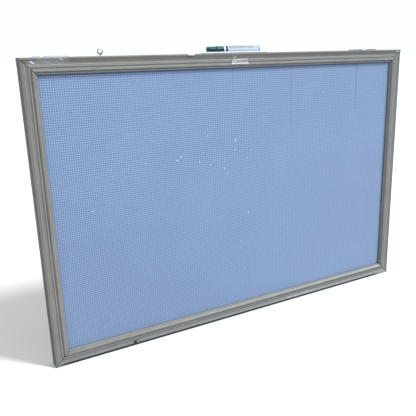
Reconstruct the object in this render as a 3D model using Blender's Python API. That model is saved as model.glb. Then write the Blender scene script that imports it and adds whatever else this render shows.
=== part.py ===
"""A framed felt board with a hanging eye, and a marker that lies on its top rail.

The board stands upright and faces -Y, with +X to the right and +Z up. The origin is the middle of the
bottom edge, halfway through the frame's depth. Every size is in metres and every angle in degrees.

The moulding is drawn in two numbers: its reach inwards from the outer edge, and its depth behind the
foremost plane of the frame, where the crown of the bead lies.
"""

import math

import bmesh
import bpy
from mathutils import Matrix, Vector

# Board
BOARD_WIDTH = 0.915
BOARD_HEIGHT = 0.610
FIT_GAP = 0.0003
MITRE_GAP = 0.0003
CUT_OVERRUN = 0.002
SMOOTH_ANGLE = 38

# Moulding, from the outer edge inwards
OUTER_ROUND = 0.002
OUTER_CREST_DEPTH = 0.0003
COVE_WIDTH = 0.0116
COVE_FALL = 0.0017
COVE_SAG = 0.0013
QUIRK_WIDTH = 0.0014
QUIRK_FALL = 0.0013
FILLET_WIDTH = 0.002
FILLET_RISE = 0.0009
BEAD_RADIUS = 0.0042
LIP_WIDTH = 0.0027
LIP_FALL = 0.0005
LIP_ROUND = 0.0005
LIP_THICKNESS = 0.0048
REBATE_WIDTH = 0.0085
ROUND_STEPS = 5
COVE_STEPS = 9
FILLET_STEPS = 6
BEAD_STEPS = 14
LIP_STEPS = 3

# Panel in the rebate, from front to back
PANEL_CLEARANCE = 0.0005
FELT_THICKNESS = 0.001
FELT_TURN_IN = 0.02
CORE_THICKNESS = 0.01
BACK_BOARD_THICKNESS = 0.003
BACK_MARGIN = 0.0014

# V-nails across the back of each mitre
V_NAIL_LEG = 0.007
V_NAIL_THICKNESS = 0.0006
V_NAIL_HEIGHT = 0.012
V_NAIL_SINK = 0.0005
V_NAIL_HALF_ANGLE = 40
V_NAIL_PLACE_SHARES = (0.2, 0.55)

# Framing points that hold the panel in the rebate
POINT_WIDTH = 0.006
POINT_THICKNESS = 0.0006
POINT_DRIVEN = 0.008
POINT_REACH = 0.009
POINTS_ACROSS = 4
POINTS_UP = 3
POINT_END_STEPS = 6

# Hanging eye, bent from one wire
EYE_WIRE = 0.002
EYE_RING_RADIUS = 0.0045
EYE_CENTRE_HEIGHT = 0.0086
EYE_NECK_HEIGHT = 0.001
EYE_SHANK_DEPTH = 0.014
EYE_FROM_LEFT = 0.1476
EYE_RING_START = -50
EYE_RING_END = 250
EYE_NECK_STEPS = 4
EYE_RING_STEPS = 20
EYE_NECK_PULL = 0.0035

# Marker, from the closed end of its cap
MARKER_FROM_LEFT = 0.372
MARKER_DIAMETER = 0.014
BARREL_LENGTH = 0.081
BARREL_WALL = 0.0012
BARREL_CHAMFER = 0.0004
COLLAR_LENGTH = 0.0038
COLLAR_DIAMETER = 0.0137
SEAT_LENGTH = 0.008
SEAT_DIAMETER = 0.0108
CONE_LENGTH = 0.009
CONE_BASE_DIAMETER = 0.0088
CONE_TIP_DIAMETER = 0.0068
SPIGOT_LENGTH = 0.01
NIB_DIAMETER = 0.0046
NIB_STICKOUT = 0.0055
CAP_LENGTH = 0.037
CAP_END_DIAMETER = 0.0116
CAP_SLIM_DIAMETER = 0.0122
CAP_RIM_DIAMETER = 0.0138
CAP_CHAMFER = 0.0008
CAP_SLIM_LENGTH = 0.016
CAP_FLARE_LENGTH = 0.0065
CAP_END_WALL = 0.0016
CAP_CLEARANCE = 0.0004
PLUG_FLANGE_LENGTH = 0.0028
PLUG_FLANGE_DIAMETER = 0.0134
PLUG_SPIGOT_LENGTH = 0.006
PLUG_CHAMFER = 0.001
TURNED_STEPS = 32
FLARE_STEPS = 6
NIB_DOME_STEPS = 4

# Clear film and tape on the top rail
FILM_THICKNESS = 0.0003
MARKER_FILM_FROM_LEFT = 0.354
MARKER_FILM_WIDTH = 0.162
FILM_SIDE_CLEARANCE = 0.0012
FILM_BACK_RISE = 0.006
TAPE_FROM_LEFT = 0.421
TAPE_WIDTH = 0.043
TAPE_TOP_REACH = 0.006
TAPE_BEAD_STEPS = 2
LEFT_FILM_FROM_LEFT = 0.0145
LEFT_FILM_WIDTH = 0.0745
LEFT_FILM_TOP_REACH = 0.016
RIGHT_FILM_FROM_RIGHT = 0.06
RIGHT_FILM_WIDTH = 0.11
RIGHT_FILM_TOP_REACH = 0.013
RIGHT_FILM_FRONT_RISE = 0.0024

# Finishes: colour, roughness, metallic, alpha
GREIGE_WOOD = ((0.31, 0.3, 0.28, 1), 0.6, 0, 1)
BLUE_FELT = ((0.29, 0.39, 0.62, 1), 0.95, 0, 1)
SOFTBOARD = ((0.42, 0.33, 0.22, 1), 0.95, 0, 1)
HARDBOARD = ((0.2, 0.11, 0.05, 1), 0.8, 0, 1)
ZINC_STEEL = ((0.55, 0.56, 0.57, 1), 0.35, 0.9, 1)
WHITE_PLASTIC = ((0.82, 0.84, 0.86, 1), 0.3, 0, 1)
GREEN_PLASTIC = ((0.01, 0.11, 0.09, 1), 0.3, 0, 1)
DARK_PLASTIC = ((0.06, 0.07, 0.12, 1), 0.4, 0, 1)
INK_FIBRE = ((0.02, 0.16, 0.12, 1), 0.9, 0, 1)
CLEAR_FILM = ((0.9, 0.94, 1, 1), 0.15, 0, 0.35)

# Places across the moulding, measured inwards from the outer edge
COVE_END = OUTER_ROUND + COVE_WIDTH
FILLET_START = COVE_END + QUIRK_WIDTH
FILLET_END = FILLET_START + FILLET_WIDTH
BEAD_CROWN = FILLET_END + QUIRK_WIDTH + BEAD_RADIUS
LIP_START = BEAD_CROWN + BEAD_RADIUS
RAIL_WIDTH = LIP_START + LIP_WIDTH
REBATE_WALL = RAIL_WIDTH - REBATE_WIDTH

# Depths behind the foremost plane
COVE_END_DEPTH = OUTER_CREST_DEPTH + COVE_FALL
QUIRK_DEPTH = COVE_END_DEPTH + QUIRK_FALL
LIP_DEPTH = BEAD_RADIUS + LIP_FALL
LIP_BACK = LIP_DEPTH + LIP_THICKNESS
FELT_FRONT = LIP_BACK + FIT_GAP
CORE_FRONT = FELT_FRONT + FELT_THICKNESS + FIT_GAP
CORE_BACK = CORE_FRONT + CORE_THICKNESS
FELT_BACK = CORE_BACK + FIT_GAP + FELT_THICKNESS
BACK_BOARD_FRONT = FELT_BACK + FIT_GAP
BACK_BOARD_BACK = BACK_BOARD_FRONT + BACK_BOARD_THICKNESS
POINT_FRONT = BACK_BOARD_BACK + FIT_GAP
POINT_BACK = POINT_FRONT + POINT_THICKNESS
FRAME_DEPTH = POINT_BACK + BACK_MARGIN
MID_DEPTH = FRAME_DEPTH / 2

# Edges of the panel
PANEL_HALF_WIDTH = BOARD_WIDTH / 2 - REBATE_WALL - PANEL_CLEARANCE
PANEL_HALF_HEIGHT = BOARD_HEIGHT / 2 - REBATE_WALL - PANEL_CLEARANCE

# Places along the marker, from the closed end of its cap
COLLAR_START = CAP_LENGTH + FIT_GAP
COLLAR_END = COLLAR_START + COLLAR_LENGTH
SPIGOT_END = COLLAR_END + SPIGOT_LENGTH
SEAT_FRONT = COLLAR_START - SEAT_LENGTH
CONE_FRONT = SEAT_FRONT - CONE_LENGTH
NIB_FRONT = CONE_FRONT - NIB_STICKOUT
BARREL_START = COLLAR_END + FIT_GAP
BARREL_END = BARREL_START + BARREL_LENGTH
PLUG_START = BARREL_END + FIT_GAP
MARKER_LENGTH = PLUG_START + PLUG_FLANGE_LENGTH
BARREL_BORE_RADIUS = MARKER_DIAMETER / 2 - BARREL_WALL
SPIGOT_RADIUS = BARREL_BORE_RADIUS - FIT_GAP
MERGE_DISTANCE = FIT_GAP / 100


def clear_scene():
    """Removes every object that the file already holds."""
    for old in list(bpy.data.objects):
        bpy.data.objects.remove(old)


def arc(centre, radius, start, end, steps):
    """Points along an arc from angle start to angle end, both ends included."""
    points = []
    for step in range(steps + 1):
        angle = math.radians(start + (end - start) * step / steps)
        points.append((centre[0] + radius * math.cos(angle), centre[1] + radius * math.sin(angle)))
    return points


def bowed(start, end, sag, steps):
    """Points along the arc from start to end whose middle stands off its chord by sag, deeper for a plus."""
    chord = Vector(end) - Vector(start)
    along = chord.normalized()
    across = Vector((-along.y, along.x))
    radius = (chord.length ** 2 / 4 + sag ** 2) / (2 * sag)
    centre = (Vector(start) + Vector(end)) / 2 - across * (radius - sag)
    first = Vector(start) - centre
    sweep = 4 * math.atan(2 * sag / chord.length)
    points = []
    for step in range(steps + 1):
        turned = Matrix.Rotation(-sweep * step / steps, 2) @ first
        points.append(tuple(centre + turned))
    return points


def eased(start, end, steps):
    """Points from start to end that leave and arrive level, as a smooth flare does."""
    points = []
    for step in range(steps + 1):
        share = step / steps
        rise = (1 - math.cos(math.pi * share)) / 2
        points.append((start[0] + (end[0] - start[0]) * share, start[1] + (end[1] - start[1]) * rise))
    return points


def offset(points, distance):
    """The polyline shifted by distance to the left of its way, with mitred corners."""
    path = [Vector(point) for point in points]
    shifted = []
    for index, point in enumerate(path):
        before = path[max(index - 1, 0)]
        after = path[min(index + 1, len(path) - 1)]
        incoming = (point - before if index else after - point).normalized()
        outgoing = (after - point if index < len(path) - 1 else point - before).normalized()
        middle = (incoming + outgoing).normalized()
        left = Vector((-middle.y, middle.x))
        shifted.append(tuple(point + left * distance / middle.dot(incoming)))
    return shifted


def outer_round():
    """The rounded outer edge of the moulding, from its side to its crest."""
    centre = (OUTER_ROUND, OUTER_CREST_DEPTH + OUTER_ROUND)
    return arc(centre, OUTER_ROUND, 180, 270, ROUND_STEPS)


def cove():
    """The scooped band of the moulding, from the outer crest inwards."""
    return bowed((OUTER_ROUND, OUTER_CREST_DEPTH), (COVE_END, COVE_END_DEPTH), COVE_SAG, COVE_STEPS)


def moulding():
    """The moulding's outline: reach inwards and depth of each point, round the whole section."""
    lip_centre = (RAIL_WIDTH - LIP_ROUND, LIP_DEPTH + LIP_ROUND)
    outline = [(0, FRAME_DEPTH)]
    outline += outer_round()[:-1]
    outline += cove()
    outline.append((COVE_END, QUIRK_DEPTH))
    outline += bowed((FILLET_START, QUIRK_DEPTH), (FILLET_END, QUIRK_DEPTH), -FILLET_RISE, FILLET_STEPS)
    outline.append((FILLET_END, BEAD_RADIUS))
    outline += arc((BEAD_CROWN, BEAD_RADIUS), BEAD_RADIUS, 180, 360, BEAD_STEPS)
    outline.append((LIP_START, LIP_DEPTH))
    outline += arc(lip_centre, LIP_ROUND, 270, 360, LIP_STEPS)
    outline.append((RAIL_WIDTH, LIP_BACK))
    outline.append((REBATE_WALL, LIP_BACK))
    outline.append((REBATE_WALL, FRAME_DEPTH))
    return outline


def dress(thing, finish, smooth_angle=None):
    """Gives the object a material of its own, and smooth shading up to an angle."""
    colour, roughness, metallic, alpha = finish
    material = bpy.data.materials.new(thing.name)
    material.use_nodes = True
    shader = material.node_tree.nodes["Principled BSDF"]
    shader.inputs["Base Color"].default_value = colour
    shader.inputs["Roughness"].default_value = roughness
    shader.inputs["Metallic"].default_value = metallic
    shader.inputs["Alpha"].default_value = alpha
    thing.data.materials.append(material)
    if smooth_angle is not None:
        thing.data.shade_smooth()
        thing.data.set_sharp_from_angle(angle=math.radians(smooth_angle))


def solid(name, shape):
    """Turns a finished bmesh into an object whose faces point outwards."""
    bmesh.ops.recalc_face_normals(shape, faces=shape.faces)
    mesh = bpy.data.meshes.new(name)
    shape.to_mesh(mesh)
    shape.free()
    thing = bpy.data.objects.new(name, mesh)
    bpy.context.scene.collection.objects.link(thing)
    return thing


def prism(shape, outline, near, far, turn=None):
    """Adds a solid to shape. The outline lies across X and Z, and runs through Y from near to far."""
    turn = turn or Matrix.Identity(4)
    face = shape.faces.new([shape.verts.new(turn @ Vector((a, near, b))) for a, b in outline])
    extruded = bmesh.ops.extrude_face_region(shape, geom=[face])["geom"]
    corners = [item for item in extruded if isinstance(item, bmesh.types.BMVert)]
    bmesh.ops.translate(shape, vec=Vector((0, far - near, 0)), verts=corners)


def rectangle(low, high):
    """The four corners of a rectangle, anticlockwise."""
    return [(low[0], low[1]), (high[0], low[1]), (high[0], high[1]), (low[0], high[1])]


def cut(thing, cutter):
    """Cuts the cutter's solids out of the object. The cutter stays as a guide and isn't part of the board."""
    cutter.matrix_world = thing.matrix_world
    cutter.hide_render = True
    cutter.display_type = "WIRE"
    modifier = thing.modifiers.new("cut", "BOOLEAN")
    modifier.operation = "DIFFERENCE"
    modifier.solver = "EXACT"
    modifier.object = cutter


def rail_places():
    """Name, length, number of framing points and placing of each rail. Its own Z points into the board."""
    middle = BOARD_HEIGHT / 2
    side = BOARD_WIDTH / 2
    return [
        ("top_rail", BOARD_WIDTH, POINTS_ACROSS, Vector((0, 0, BOARD_HEIGHT)), 180),
        ("bottom_rail", BOARD_WIDTH, POINTS_ACROSS, Vector((0, 0, 0)), 0),
        ("left_stile", BOARD_HEIGHT, POINTS_UP, Vector((-side, 0, middle)), 90),
        ("right_stile", BOARD_HEIGHT, POINTS_UP, Vector((side, 0, middle)), -90),
    ]


def placing(location, angle):
    """The placing of a piece that is turned about Y and then moved."""
    return Matrix.Translation(location) @ Matrix.Rotation(math.radians(angle), 4, "Y")


def v_outline(apex, leg, thickness):
    """A V in plan. Its apex is that far along the mitre from the corner, and its legs open inwards."""
    half = math.radians(V_NAIL_HALF_ANGLE)
    reach = thickness / 2 / math.sin(half)
    tip = Vector((apex + leg * math.cos(half), leg * math.sin(half)))
    side = Vector((-math.sin(half), math.cos(half))) * thickness / 2
    outer = tip + side
    inner = tip - side
    return [
        (apex - reach, 0),
        (outer.x, -outer.y),
        (inner.x, -inner.y),
        (apex + reach, 0),
        (inner.x, inner.y),
        (outer.x, outer.y),
    ]


def v_nail_apexes():
    """How far along the mitre each V-nail's apex lies from the outer corner."""
    mitre = REBATE_WALL * math.sqrt(2)
    return [mitre * share for share in V_NAIL_PLACE_SHARES]


def point_places(length, count):
    """Where the framing points stand along a rail, from its middle."""
    opening = length - REBATE_WALL * 2
    return [opening * ((index + 0.5) / count - 0.5) for index in range(count)]


def rail_cutter(name, length, count):
    """The slots that one rail holds for V-nails and framing points."""
    shape = bmesh.new()
    back = FRAME_DEPTH - MID_DEPTH
    floor = back - V_NAIL_SINK - V_NAIL_HEIGHT - FIT_GAP
    for end, angle in ((length / 2, 225), (-length / 2, 315)):
        turn = placing(Vector((end, 0, 0)), angle)
        for apex in v_nail_apexes():
            outline = v_outline(apex, V_NAIL_LEG + FIT_GAP, V_NAIL_THICKNESS + FIT_GAP * 2)
            prism(shape, outline, floor, back + CUT_OVERRUN, turn)
    half = POINT_WIDTH / 2 + FIT_GAP
    low = REBATE_WALL - POINT_DRIVEN - FIT_GAP
    high = REBATE_WALL + CUT_OVERRUN
    front = POINT_FRONT - MID_DEPTH - FIT_GAP
    rear = POINT_BACK - MID_DEPTH + FIT_GAP
    for place in point_places(length, count):
        prism(shape, rectangle((place - half, low), (place + half, high)), front, rear)
    return solid(name + "_slots", shape)


def build_rail(name, length, count, location, angle):
    """One mitred length of moulding, with its slots cut."""
    shape = bmesh.new()
    end = length / 2 - MITRE_GAP / math.sqrt(2)
    section = [(-(end - reach), depth - MID_DEPTH, reach) for reach, depth in moulding()]
    face = shape.faces.new([shape.verts.new(corner) for corner in section])
    extruded = bmesh.ops.extrude_face_region(shape, geom=[face])["geom"]
    for corner in extruded:
        if isinstance(corner, bmesh.types.BMVert):
            corner.co.x = -corner.co.x
    rail = solid(name, shape)
    rail.matrix_world = placing(location, angle)
    dress(rail, GREIGE_WOOD, SMOOTH_ANGLE)
    cut(rail, rail_cutter(name, length, count))
    return rail


def build_v_nails():
    """Two V-nails in the back of each mitre, just under the surface."""
    side = BOARD_WIDTH / 2
    corners = [
        ("top_left", Vector((-side, 0, BOARD_HEIGHT)), 45),
        ("top_right", Vector((side, 0, BOARD_HEIGHT)), 135),
        ("bottom_right", Vector((side, 0, 0)), 225),
        ("bottom_left", Vector((-side, 0, 0)), 315),
    ]
    rear = FRAME_DEPTH - MID_DEPTH - V_NAIL_SINK
    for corner, location, angle in corners:
        for place, apex in zip(("outer", "inner"), v_nail_apexes()):
            shape = bmesh.new()
            outline = v_outline(apex, V_NAIL_LEG, V_NAIL_THICKNESS)
            prism(shape, outline, rear - V_NAIL_HEIGHT, rear)
            nail = solid(f"v_nail_{corner}_{place}", shape)
            nail.matrix_world = placing(location, angle)
            dress(nail, ZINC_STEEL)


def point_outline(place):
    """A framing point in plan: sharp in the wood, rounded where it lies on the back board."""
    half = POINT_WIDTH / 2
    tip = REBATE_WALL - POINT_DRIVEN
    end = REBATE_WALL + POINT_REACH - half
    return [(place, tip), (place + half, tip + half)] + arc((place, end), half, 0, 180, POINT_END_STEPS) + [
        (place - half, tip + half)
    ]


def build_framing_points():
    """The framing points along each rail, each half driven in and half over the back board."""
    for rail, length, count, location, angle in rail_places():
        for index, place in enumerate(point_places(length, count)):
            shape = bmesh.new()
            prism(shape, point_outline(place), POINT_FRONT - MID_DEPTH, POINT_BACK - MID_DEPTH)
            point = solid(f"framing_point_{rail}_{index + 1}", shape)
            point.matrix_world = placing(location, angle)
            dress(point, ZINC_STEEL)


def panel_board(name, shrink, front, back, finish):
    """A flat sheet of the panel's outline, smaller by shrink all round."""
    shape = bmesh.new()
    half_width = PANEL_HALF_WIDTH - shrink
    half_height = PANEL_HALF_HEIGHT - shrink
    outline = rectangle((-half_width, -half_height), (half_width, half_height))
    prism(shape, outline, front - MID_DEPTH, back - MID_DEPTH)
    board = solid(name, shape)
    board.location = (0, 0, BOARD_HEIGHT / 2)
    dress(board, finish)
    return board


def build_felt():
    """The cloth over the core: its front, its four edges and the border turned in behind."""
    shape = bmesh.new()
    rings = []
    for shrink, depth in (
        (0, FELT_FRONT),
        (0, FELT_BACK),
        (FELT_TURN_IN, FELT_BACK),
        (FELT_TURN_IN, FELT_BACK - FELT_THICKNESS),
        (FELT_THICKNESS, FELT_BACK - FELT_THICKNESS),
        (FELT_THICKNESS, FELT_FRONT + FELT_THICKNESS),
    ):
        half_width = PANEL_HALF_WIDTH - shrink
        half_height = PANEL_HALF_HEIGHT - shrink
        corners = rectangle((-half_width, -half_height), (half_width, half_height))
        rings.append([shape.verts.new((a, depth - MID_DEPTH, b)) for a, b in corners])
    shape.faces.new(rings[0])
    for ring, following in zip(rings, rings[1:]):
        for index in range(4):
            other = (index + 1) % 4
            shape.faces.new([ring[index], ring[other], following[other], following[index]])
    shape.faces.new(rings[-1])
    felt = solid("felt_facing", shape)
    felt.location = (0, 0, BOARD_HEIGHT / 2)
    dress(felt, BLUE_FELT)


def build_panel():
    """The felt, the softboard that it is stretched over and the hardboard behind it."""
    build_felt()
    panel_board("softboard_core", FELT_THICKNESS + FIT_GAP, CORE_FRONT, CORE_BACK, SOFTBOARD)
    panel_board("back_board", 0, BACK_BOARD_FRONT, BACK_BOARD_BACK, HARDBOARD)


def eye_path():
    """The line of the eye's wire: shank, neck and ring, in X and Z from the top face of the rail."""
    centre = Vector((0, EYE_CENTRE_HEIGHT))
    ring = arc(centre, EYE_RING_RADIUS, EYE_RING_START, EYE_RING_END, EYE_RING_STEPS)
    start = Vector((0, EYE_NECK_HEIGHT))
    end = Vector(ring[0])
    leave = Vector((0, EYE_NECK_PULL))
    angle = math.radians(EYE_RING_START)
    arrive = Vector((-math.sin(angle), math.cos(angle))) * EYE_NECK_PULL
    neck = []
    for step in range(EYE_NECK_STEPS):
        t = step / EYE_NECK_STEPS
        neck.append(
            start * (2 * t ** 3 - 3 * t ** 2 + 1)
            + leave * (t ** 3 - 2 * t ** 2 + t)
            + end * (3 * t ** 2 - 2 * t ** 3)
            + arrive * (t ** 3 - t ** 2)
        )
    return [(0, -EYE_SHANK_DEPTH)] + [tuple(point) for point in neck] + ring


def build_eye(top_rail):
    """The hanging eye, screwed into the middle of the top rail's outer face, and its hole."""
    place = EYE_FROM_LEFT - BOARD_WIDTH / 2
    curve = bpy.data.curves.new("hanging_eye", "CURVE")
    curve.dimensions = "3D"
    curve.bevel_depth = EYE_WIRE / 2
    curve.bevel_resolution = 2
    curve.use_fill_caps = True
    curve.render_resolution_u = 0
    path = eye_path()
    spline = curve.splines.new("POLY")
    spline.points.add(len(path) - 1)
    for point, (across, up) in zip(spline.points, path):
        point.co = (across, 0, up, 1)
    eye = bpy.data.objects.new("hanging_eye", curve)
    bpy.context.scene.collection.objects.link(eye)
    eye.location = (place, 0, BOARD_HEIGHT)
    dress(eye, ZINC_STEEL)
    shape = bmesh.new()
    depth = EYE_SHANK_DEPTH + FIT_GAP
    bmesh.ops.create_cone(
        shape,
        cap_ends=True,
        segments=TURNED_STEPS // 2,
        radius1=EYE_WIRE / 2 + FIT_GAP,
        radius2=EYE_WIRE / 2 + FIT_GAP,
        depth=depth + CUT_OVERRUN,
    )
    # In the rail's own frame X runs to the left and Z into the wood.
    middle = Vector((-place, 0, (depth - CUT_OVERRUN) / 2))
    bmesh.ops.translate(shape, vec=middle, verts=shape.verts)
    cut(top_rail, solid("hanging_eye_hole", shape))


def turned(name, outline, finish, parent):
    """A piece of the marker turned about its axis, X. The outline gives place and radius of each point."""
    shape = bmesh.new()
    corners = [shape.verts.new((along, 0, radius)) for along, radius in outline]
    edges = [shape.edges.new(pair) for pair in zip(corners, corners[1:])]
    if outline[0][1] > 0:
        edges.append(shape.edges.new((corners[-1], corners[0])))
    bmesh.ops.spin(
        shape,
        geom=corners + edges,
        cent=(0, 0, 0),
        axis=(1, 0, 0),
        dvec=(0, 0, 0),
        angle=math.tau,
        steps=TURNED_STEPS,
        use_merge=True,
    )
    bmesh.ops.remove_doubles(shape, verts=shape.verts, dist=MERGE_DISTANCE)
    piece = solid(name, shape)
    piece.parent = parent
    dress(piece, finish, SMOOTH_ANGLE)
    return piece


def cap_outline():
    """The cap: slim at its closed end, flared towards its rim, hollow for the nib and the seat."""
    end_radius = CAP_END_DIAMETER / 2
    slim_radius = CAP_SLIM_DIAMETER / 2
    rim_radius = CAP_RIM_DIAMETER / 2
    mouth_radius = SEAT_DIAMETER / 2 + FIT_GAP
    inner_radius = CONE_BASE_DIAMETER / 2 + CAP_CLEARANCE
    flare_end = CAP_SLIM_LENGTH + CAP_FLARE_LENGTH
    step = SEAT_FRONT - FIT_GAP
    outside = [(0, 0), (0, end_radius - CAP_CHAMFER), (CAP_CHAMFER, end_radius)]
    outside += eased((CAP_SLIM_LENGTH, slim_radius), (flare_end, rim_radius), FLARE_STEPS)
    outside.append((CAP_LENGTH, rim_radius))
    inside = [
        (CAP_LENGTH, mouth_radius),
        (step, mouth_radius),
        (step, inner_radius),
        (CAP_END_WALL, inner_radius),
        (CAP_END_WALL, 0),
    ]
    return outside + inside


def holder_outline():
    """The nib holder: cone, cap seat, collar and the spigot inside the barrel, bored for the nib."""
    bore_radius = NIB_DIAMETER / 2 + FIT_GAP
    seat_radius = SEAT_DIAMETER / 2
    collar_radius = COLLAR_DIAMETER / 2
    return [
        (CONE_FRONT, bore_radius),
        (CONE_FRONT, CONE_TIP_DIAMETER / 2),
        (SEAT_FRONT, CONE_BASE_DIAMETER / 2),
        (SEAT_FRONT, seat_radius),
        (COLLAR_START, seat_radius),
        (COLLAR_START, collar_radius),
        (COLLAR_END, collar_radius),
        (COLLAR_END, SPIGOT_RADIUS),
        (SPIGOT_END, SPIGOT_RADIUS),
        (SPIGOT_END, bore_radius),
    ]


def nib_outline():
    """The nib: a felt rod with a domed tip that runs back to the reservoir."""
    radius = NIB_DIAMETER / 2
    dome = arc((NIB_FRONT + radius, 0), radius, 180, 90, NIB_DOME_STEPS)
    dome[0] = (NIB_FRONT, 0)
    return dome + [(SPIGOT_END, radius), (SPIGOT_END, 0)]


def barrel_outline():
    """The barrel: a tube with lightly chamfered ends."""
    radius = MARKER_DIAMETER / 2
    return [
        (BARREL_START, BARREL_BORE_RADIUS),
        (BARREL_START, radius - BARREL_CHAMFER),
        (BARREL_START + BARREL_CHAMFER, radius),
        (BARREL_END - BARREL_CHAMFER, radius),
        (BARREL_END, radius - BARREL_CHAMFER),
        (BARREL_END, BARREL_BORE_RADIUS),
    ]


def plug_outline():
    """The end plug: a spigot inside the barrel and a flange that closes its end."""
    flange_radius = PLUG_FLANGE_DIAMETER / 2
    return [
        (BARREL_END - PLUG_SPIGOT_LENGTH, 0),
        (BARREL_END - PLUG_SPIGOT_LENGTH, SPIGOT_RADIUS),
        (PLUG_START, SPIGOT_RADIUS),
        (PLUG_START, flange_radius),
        (MARKER_LENGTH - PLUG_CHAMFER, flange_radius),
        (MARKER_LENGTH, flange_radius - PLUG_CHAMFER),
        (MARKER_LENGTH, 0),
    ]


def reservoir_outline():
    """The ink reservoir: a fibre rod between the nib holder and the end plug."""
    start = SPIGOT_END + FIT_GAP
    end = BARREL_END - PLUG_SPIGOT_LENGTH - FIT_GAP
    return [(start, 0), (start, SPIGOT_RADIUS), (end, SPIGOT_RADIUS), (end, 0)]


def build_marker():
    """The marker, lying along the top rail on its strip of film. Its empty lies on its axis."""
    axis = bpy.data.objects.new("marker_axis", None)
    bpy.context.scene.collection.objects.link(axis)
    rest = BOARD_HEIGHT + FIT_GAP + FILM_THICKNESS + FIT_GAP
    axis.location = (MARKER_FROM_LEFT - BOARD_WIDTH / 2, 0, rest + MARKER_DIAMETER / 2)
    turned("marker_cap", cap_outline(), GREEN_PLASTIC, axis)
    turned("marker_nib_holder", holder_outline(), WHITE_PLASTIC, axis)
    turned("marker_nib", nib_outline(), INK_FIBRE, axis)
    turned("marker_reservoir", reservoir_outline(), INK_FIBRE, axis)
    turned("marker_barrel", barrel_outline(), WHITE_PLASTIC, axis)
    turned("marker_end_plug", plug_outline(), DARK_PLASTIC, axis)


def build_strip(name, path, start, width):
    """A strip of film over the top rail. The path gives reach and depth on the wood, from front to back."""
    inner = offset(path, FIT_GAP)
    outer = offset(path, FIT_GAP + FILM_THICKNESS)
    shape = bmesh.new()
    outline = [(0, depth - MID_DEPTH, -reach) for reach, depth in inner + outer[::-1]]
    face = shape.faces.new([shape.verts.new(corner) for corner in outline])
    extruded = bmesh.ops.extrude_face_region(shape, geom=[face])["geom"]
    corners = [item for item in extruded if isinstance(item, bmesh.types.BMVert)]
    bmesh.ops.translate(shape, vec=Vector((width, 0, 0)), verts=corners)
    film = solid(name, shape)
    film.location = (start - BOARD_WIDTH / 2, 0, BOARD_HEIGHT)
    dress(film, CLEAR_FILM, SMOOTH_ANGLE)


def tape_path():
    """From the bead's crown over its flank, straight to the cove's end, up the cove and over the edge."""
    to_crown = Vector((BEAD_CROWN - COVE_END, BEAD_RADIUS - COVE_END_DEPTH))
    bearing = 180 + math.degrees(math.atan2(to_crown.y, to_crown.x))
    leave = bearing + math.degrees(math.acos(BEAD_RADIUS / to_crown.length))
    bead = arc((BEAD_CROWN, BEAD_RADIUS), BEAD_RADIUS, 270, leave, TAPE_BEAD_STEPS)
    return bead + cove()[::-1] + outer_round()[::-1][1:] + [(0, TAPE_TOP_REACH)]


def build_films():
    """The tape below the marker and the three strips of wrapping film on the top rail."""
    build_strip("marker_tape", tape_path(), TAPE_FROM_LEFT, TAPE_WIDTH)
    over_edge = cove()[::-1] + outer_round()[::-1][1:] + [(0, LEFT_FILM_TOP_REACH)]
    build_strip("left_film", over_edge, LEFT_FILM_FROM_LEFT, LEFT_FILM_WIDTH)
    front = TAPE_TOP_REACH + FILM_SIDE_CLEARANCE
    rear = MID_DEPTH + MARKER_DIAMETER / 2 + FILM_SIDE_CLEARANCE
    behind = [(0, front), (0, rear), (-FILM_BACK_RISE, rear)]
    build_strip("marker_film", behind, MARKER_FILM_FROM_LEFT, MARKER_FILM_WIDTH)
    edge = OUTER_CREST_DEPTH + OUTER_ROUND + FIT_GAP + FILM_THICKNESS
    standing = [(-RIGHT_FILM_FRONT_RISE, edge), (0, edge), (0, edge + RIGHT_FILM_TOP_REACH)]
    start = BOARD_WIDTH - RIGHT_FILM_FROM_RIGHT - RIGHT_FILM_WIDTH
    build_strip("right_film", standing, start, RIGHT_FILM_WIDTH)


def build_frame():
    """The four rails. Returns the top rail, which takes the hanging eye."""
    rails = [build_rail(*place) for place in rail_places()]
    return rails[0]


def build_board():
    """Builds the whole board and the marker."""
    clear_scene()
    top_rail = build_frame()
    build_v_nails()
    build_framing_points()
    build_panel()
    build_eye(top_rail)
    build_marker()
    build_films()


build_board()
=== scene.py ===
"""The looks of a framed felt board, its hanging eye and the marker that lies on its top rail.

Everything is in metres, in the board's own frame: +X to the right, -Y out of the felt and +Z up, with the
origin in the middle of the bottom edge. The moulding is drawn in two numbers: its reach inwards from the
outer edge, and its depth behind the foremost plane of the frame.
"""

import logging
import math
import random
from collections.abc import Callable, Iterator, Sequence
from contextlib import contextmanager
from dataclasses import dataclass
from enum import Enum

import bmesh
import bpy
from mathutils import Matrix, Vector, noise


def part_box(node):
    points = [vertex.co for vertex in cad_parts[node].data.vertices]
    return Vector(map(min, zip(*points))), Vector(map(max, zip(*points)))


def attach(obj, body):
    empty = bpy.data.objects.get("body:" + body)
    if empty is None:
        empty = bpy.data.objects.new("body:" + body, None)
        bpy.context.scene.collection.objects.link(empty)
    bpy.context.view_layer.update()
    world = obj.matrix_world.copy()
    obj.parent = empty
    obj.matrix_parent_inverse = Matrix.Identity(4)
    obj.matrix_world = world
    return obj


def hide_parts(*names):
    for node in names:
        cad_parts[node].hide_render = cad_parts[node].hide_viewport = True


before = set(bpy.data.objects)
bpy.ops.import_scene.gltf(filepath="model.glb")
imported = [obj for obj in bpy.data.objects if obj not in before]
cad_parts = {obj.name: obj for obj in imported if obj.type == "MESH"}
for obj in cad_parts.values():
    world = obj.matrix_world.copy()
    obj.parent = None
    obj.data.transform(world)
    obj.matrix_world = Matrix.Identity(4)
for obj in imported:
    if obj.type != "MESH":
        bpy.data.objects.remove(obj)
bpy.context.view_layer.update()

PHOTO_SIDE = 416
SENSOR_WIDTH = 36.0
TINY = 0.000002
FIT_GAP = 0.0003
FLAT_ANGLE = math.radians(1)

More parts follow.
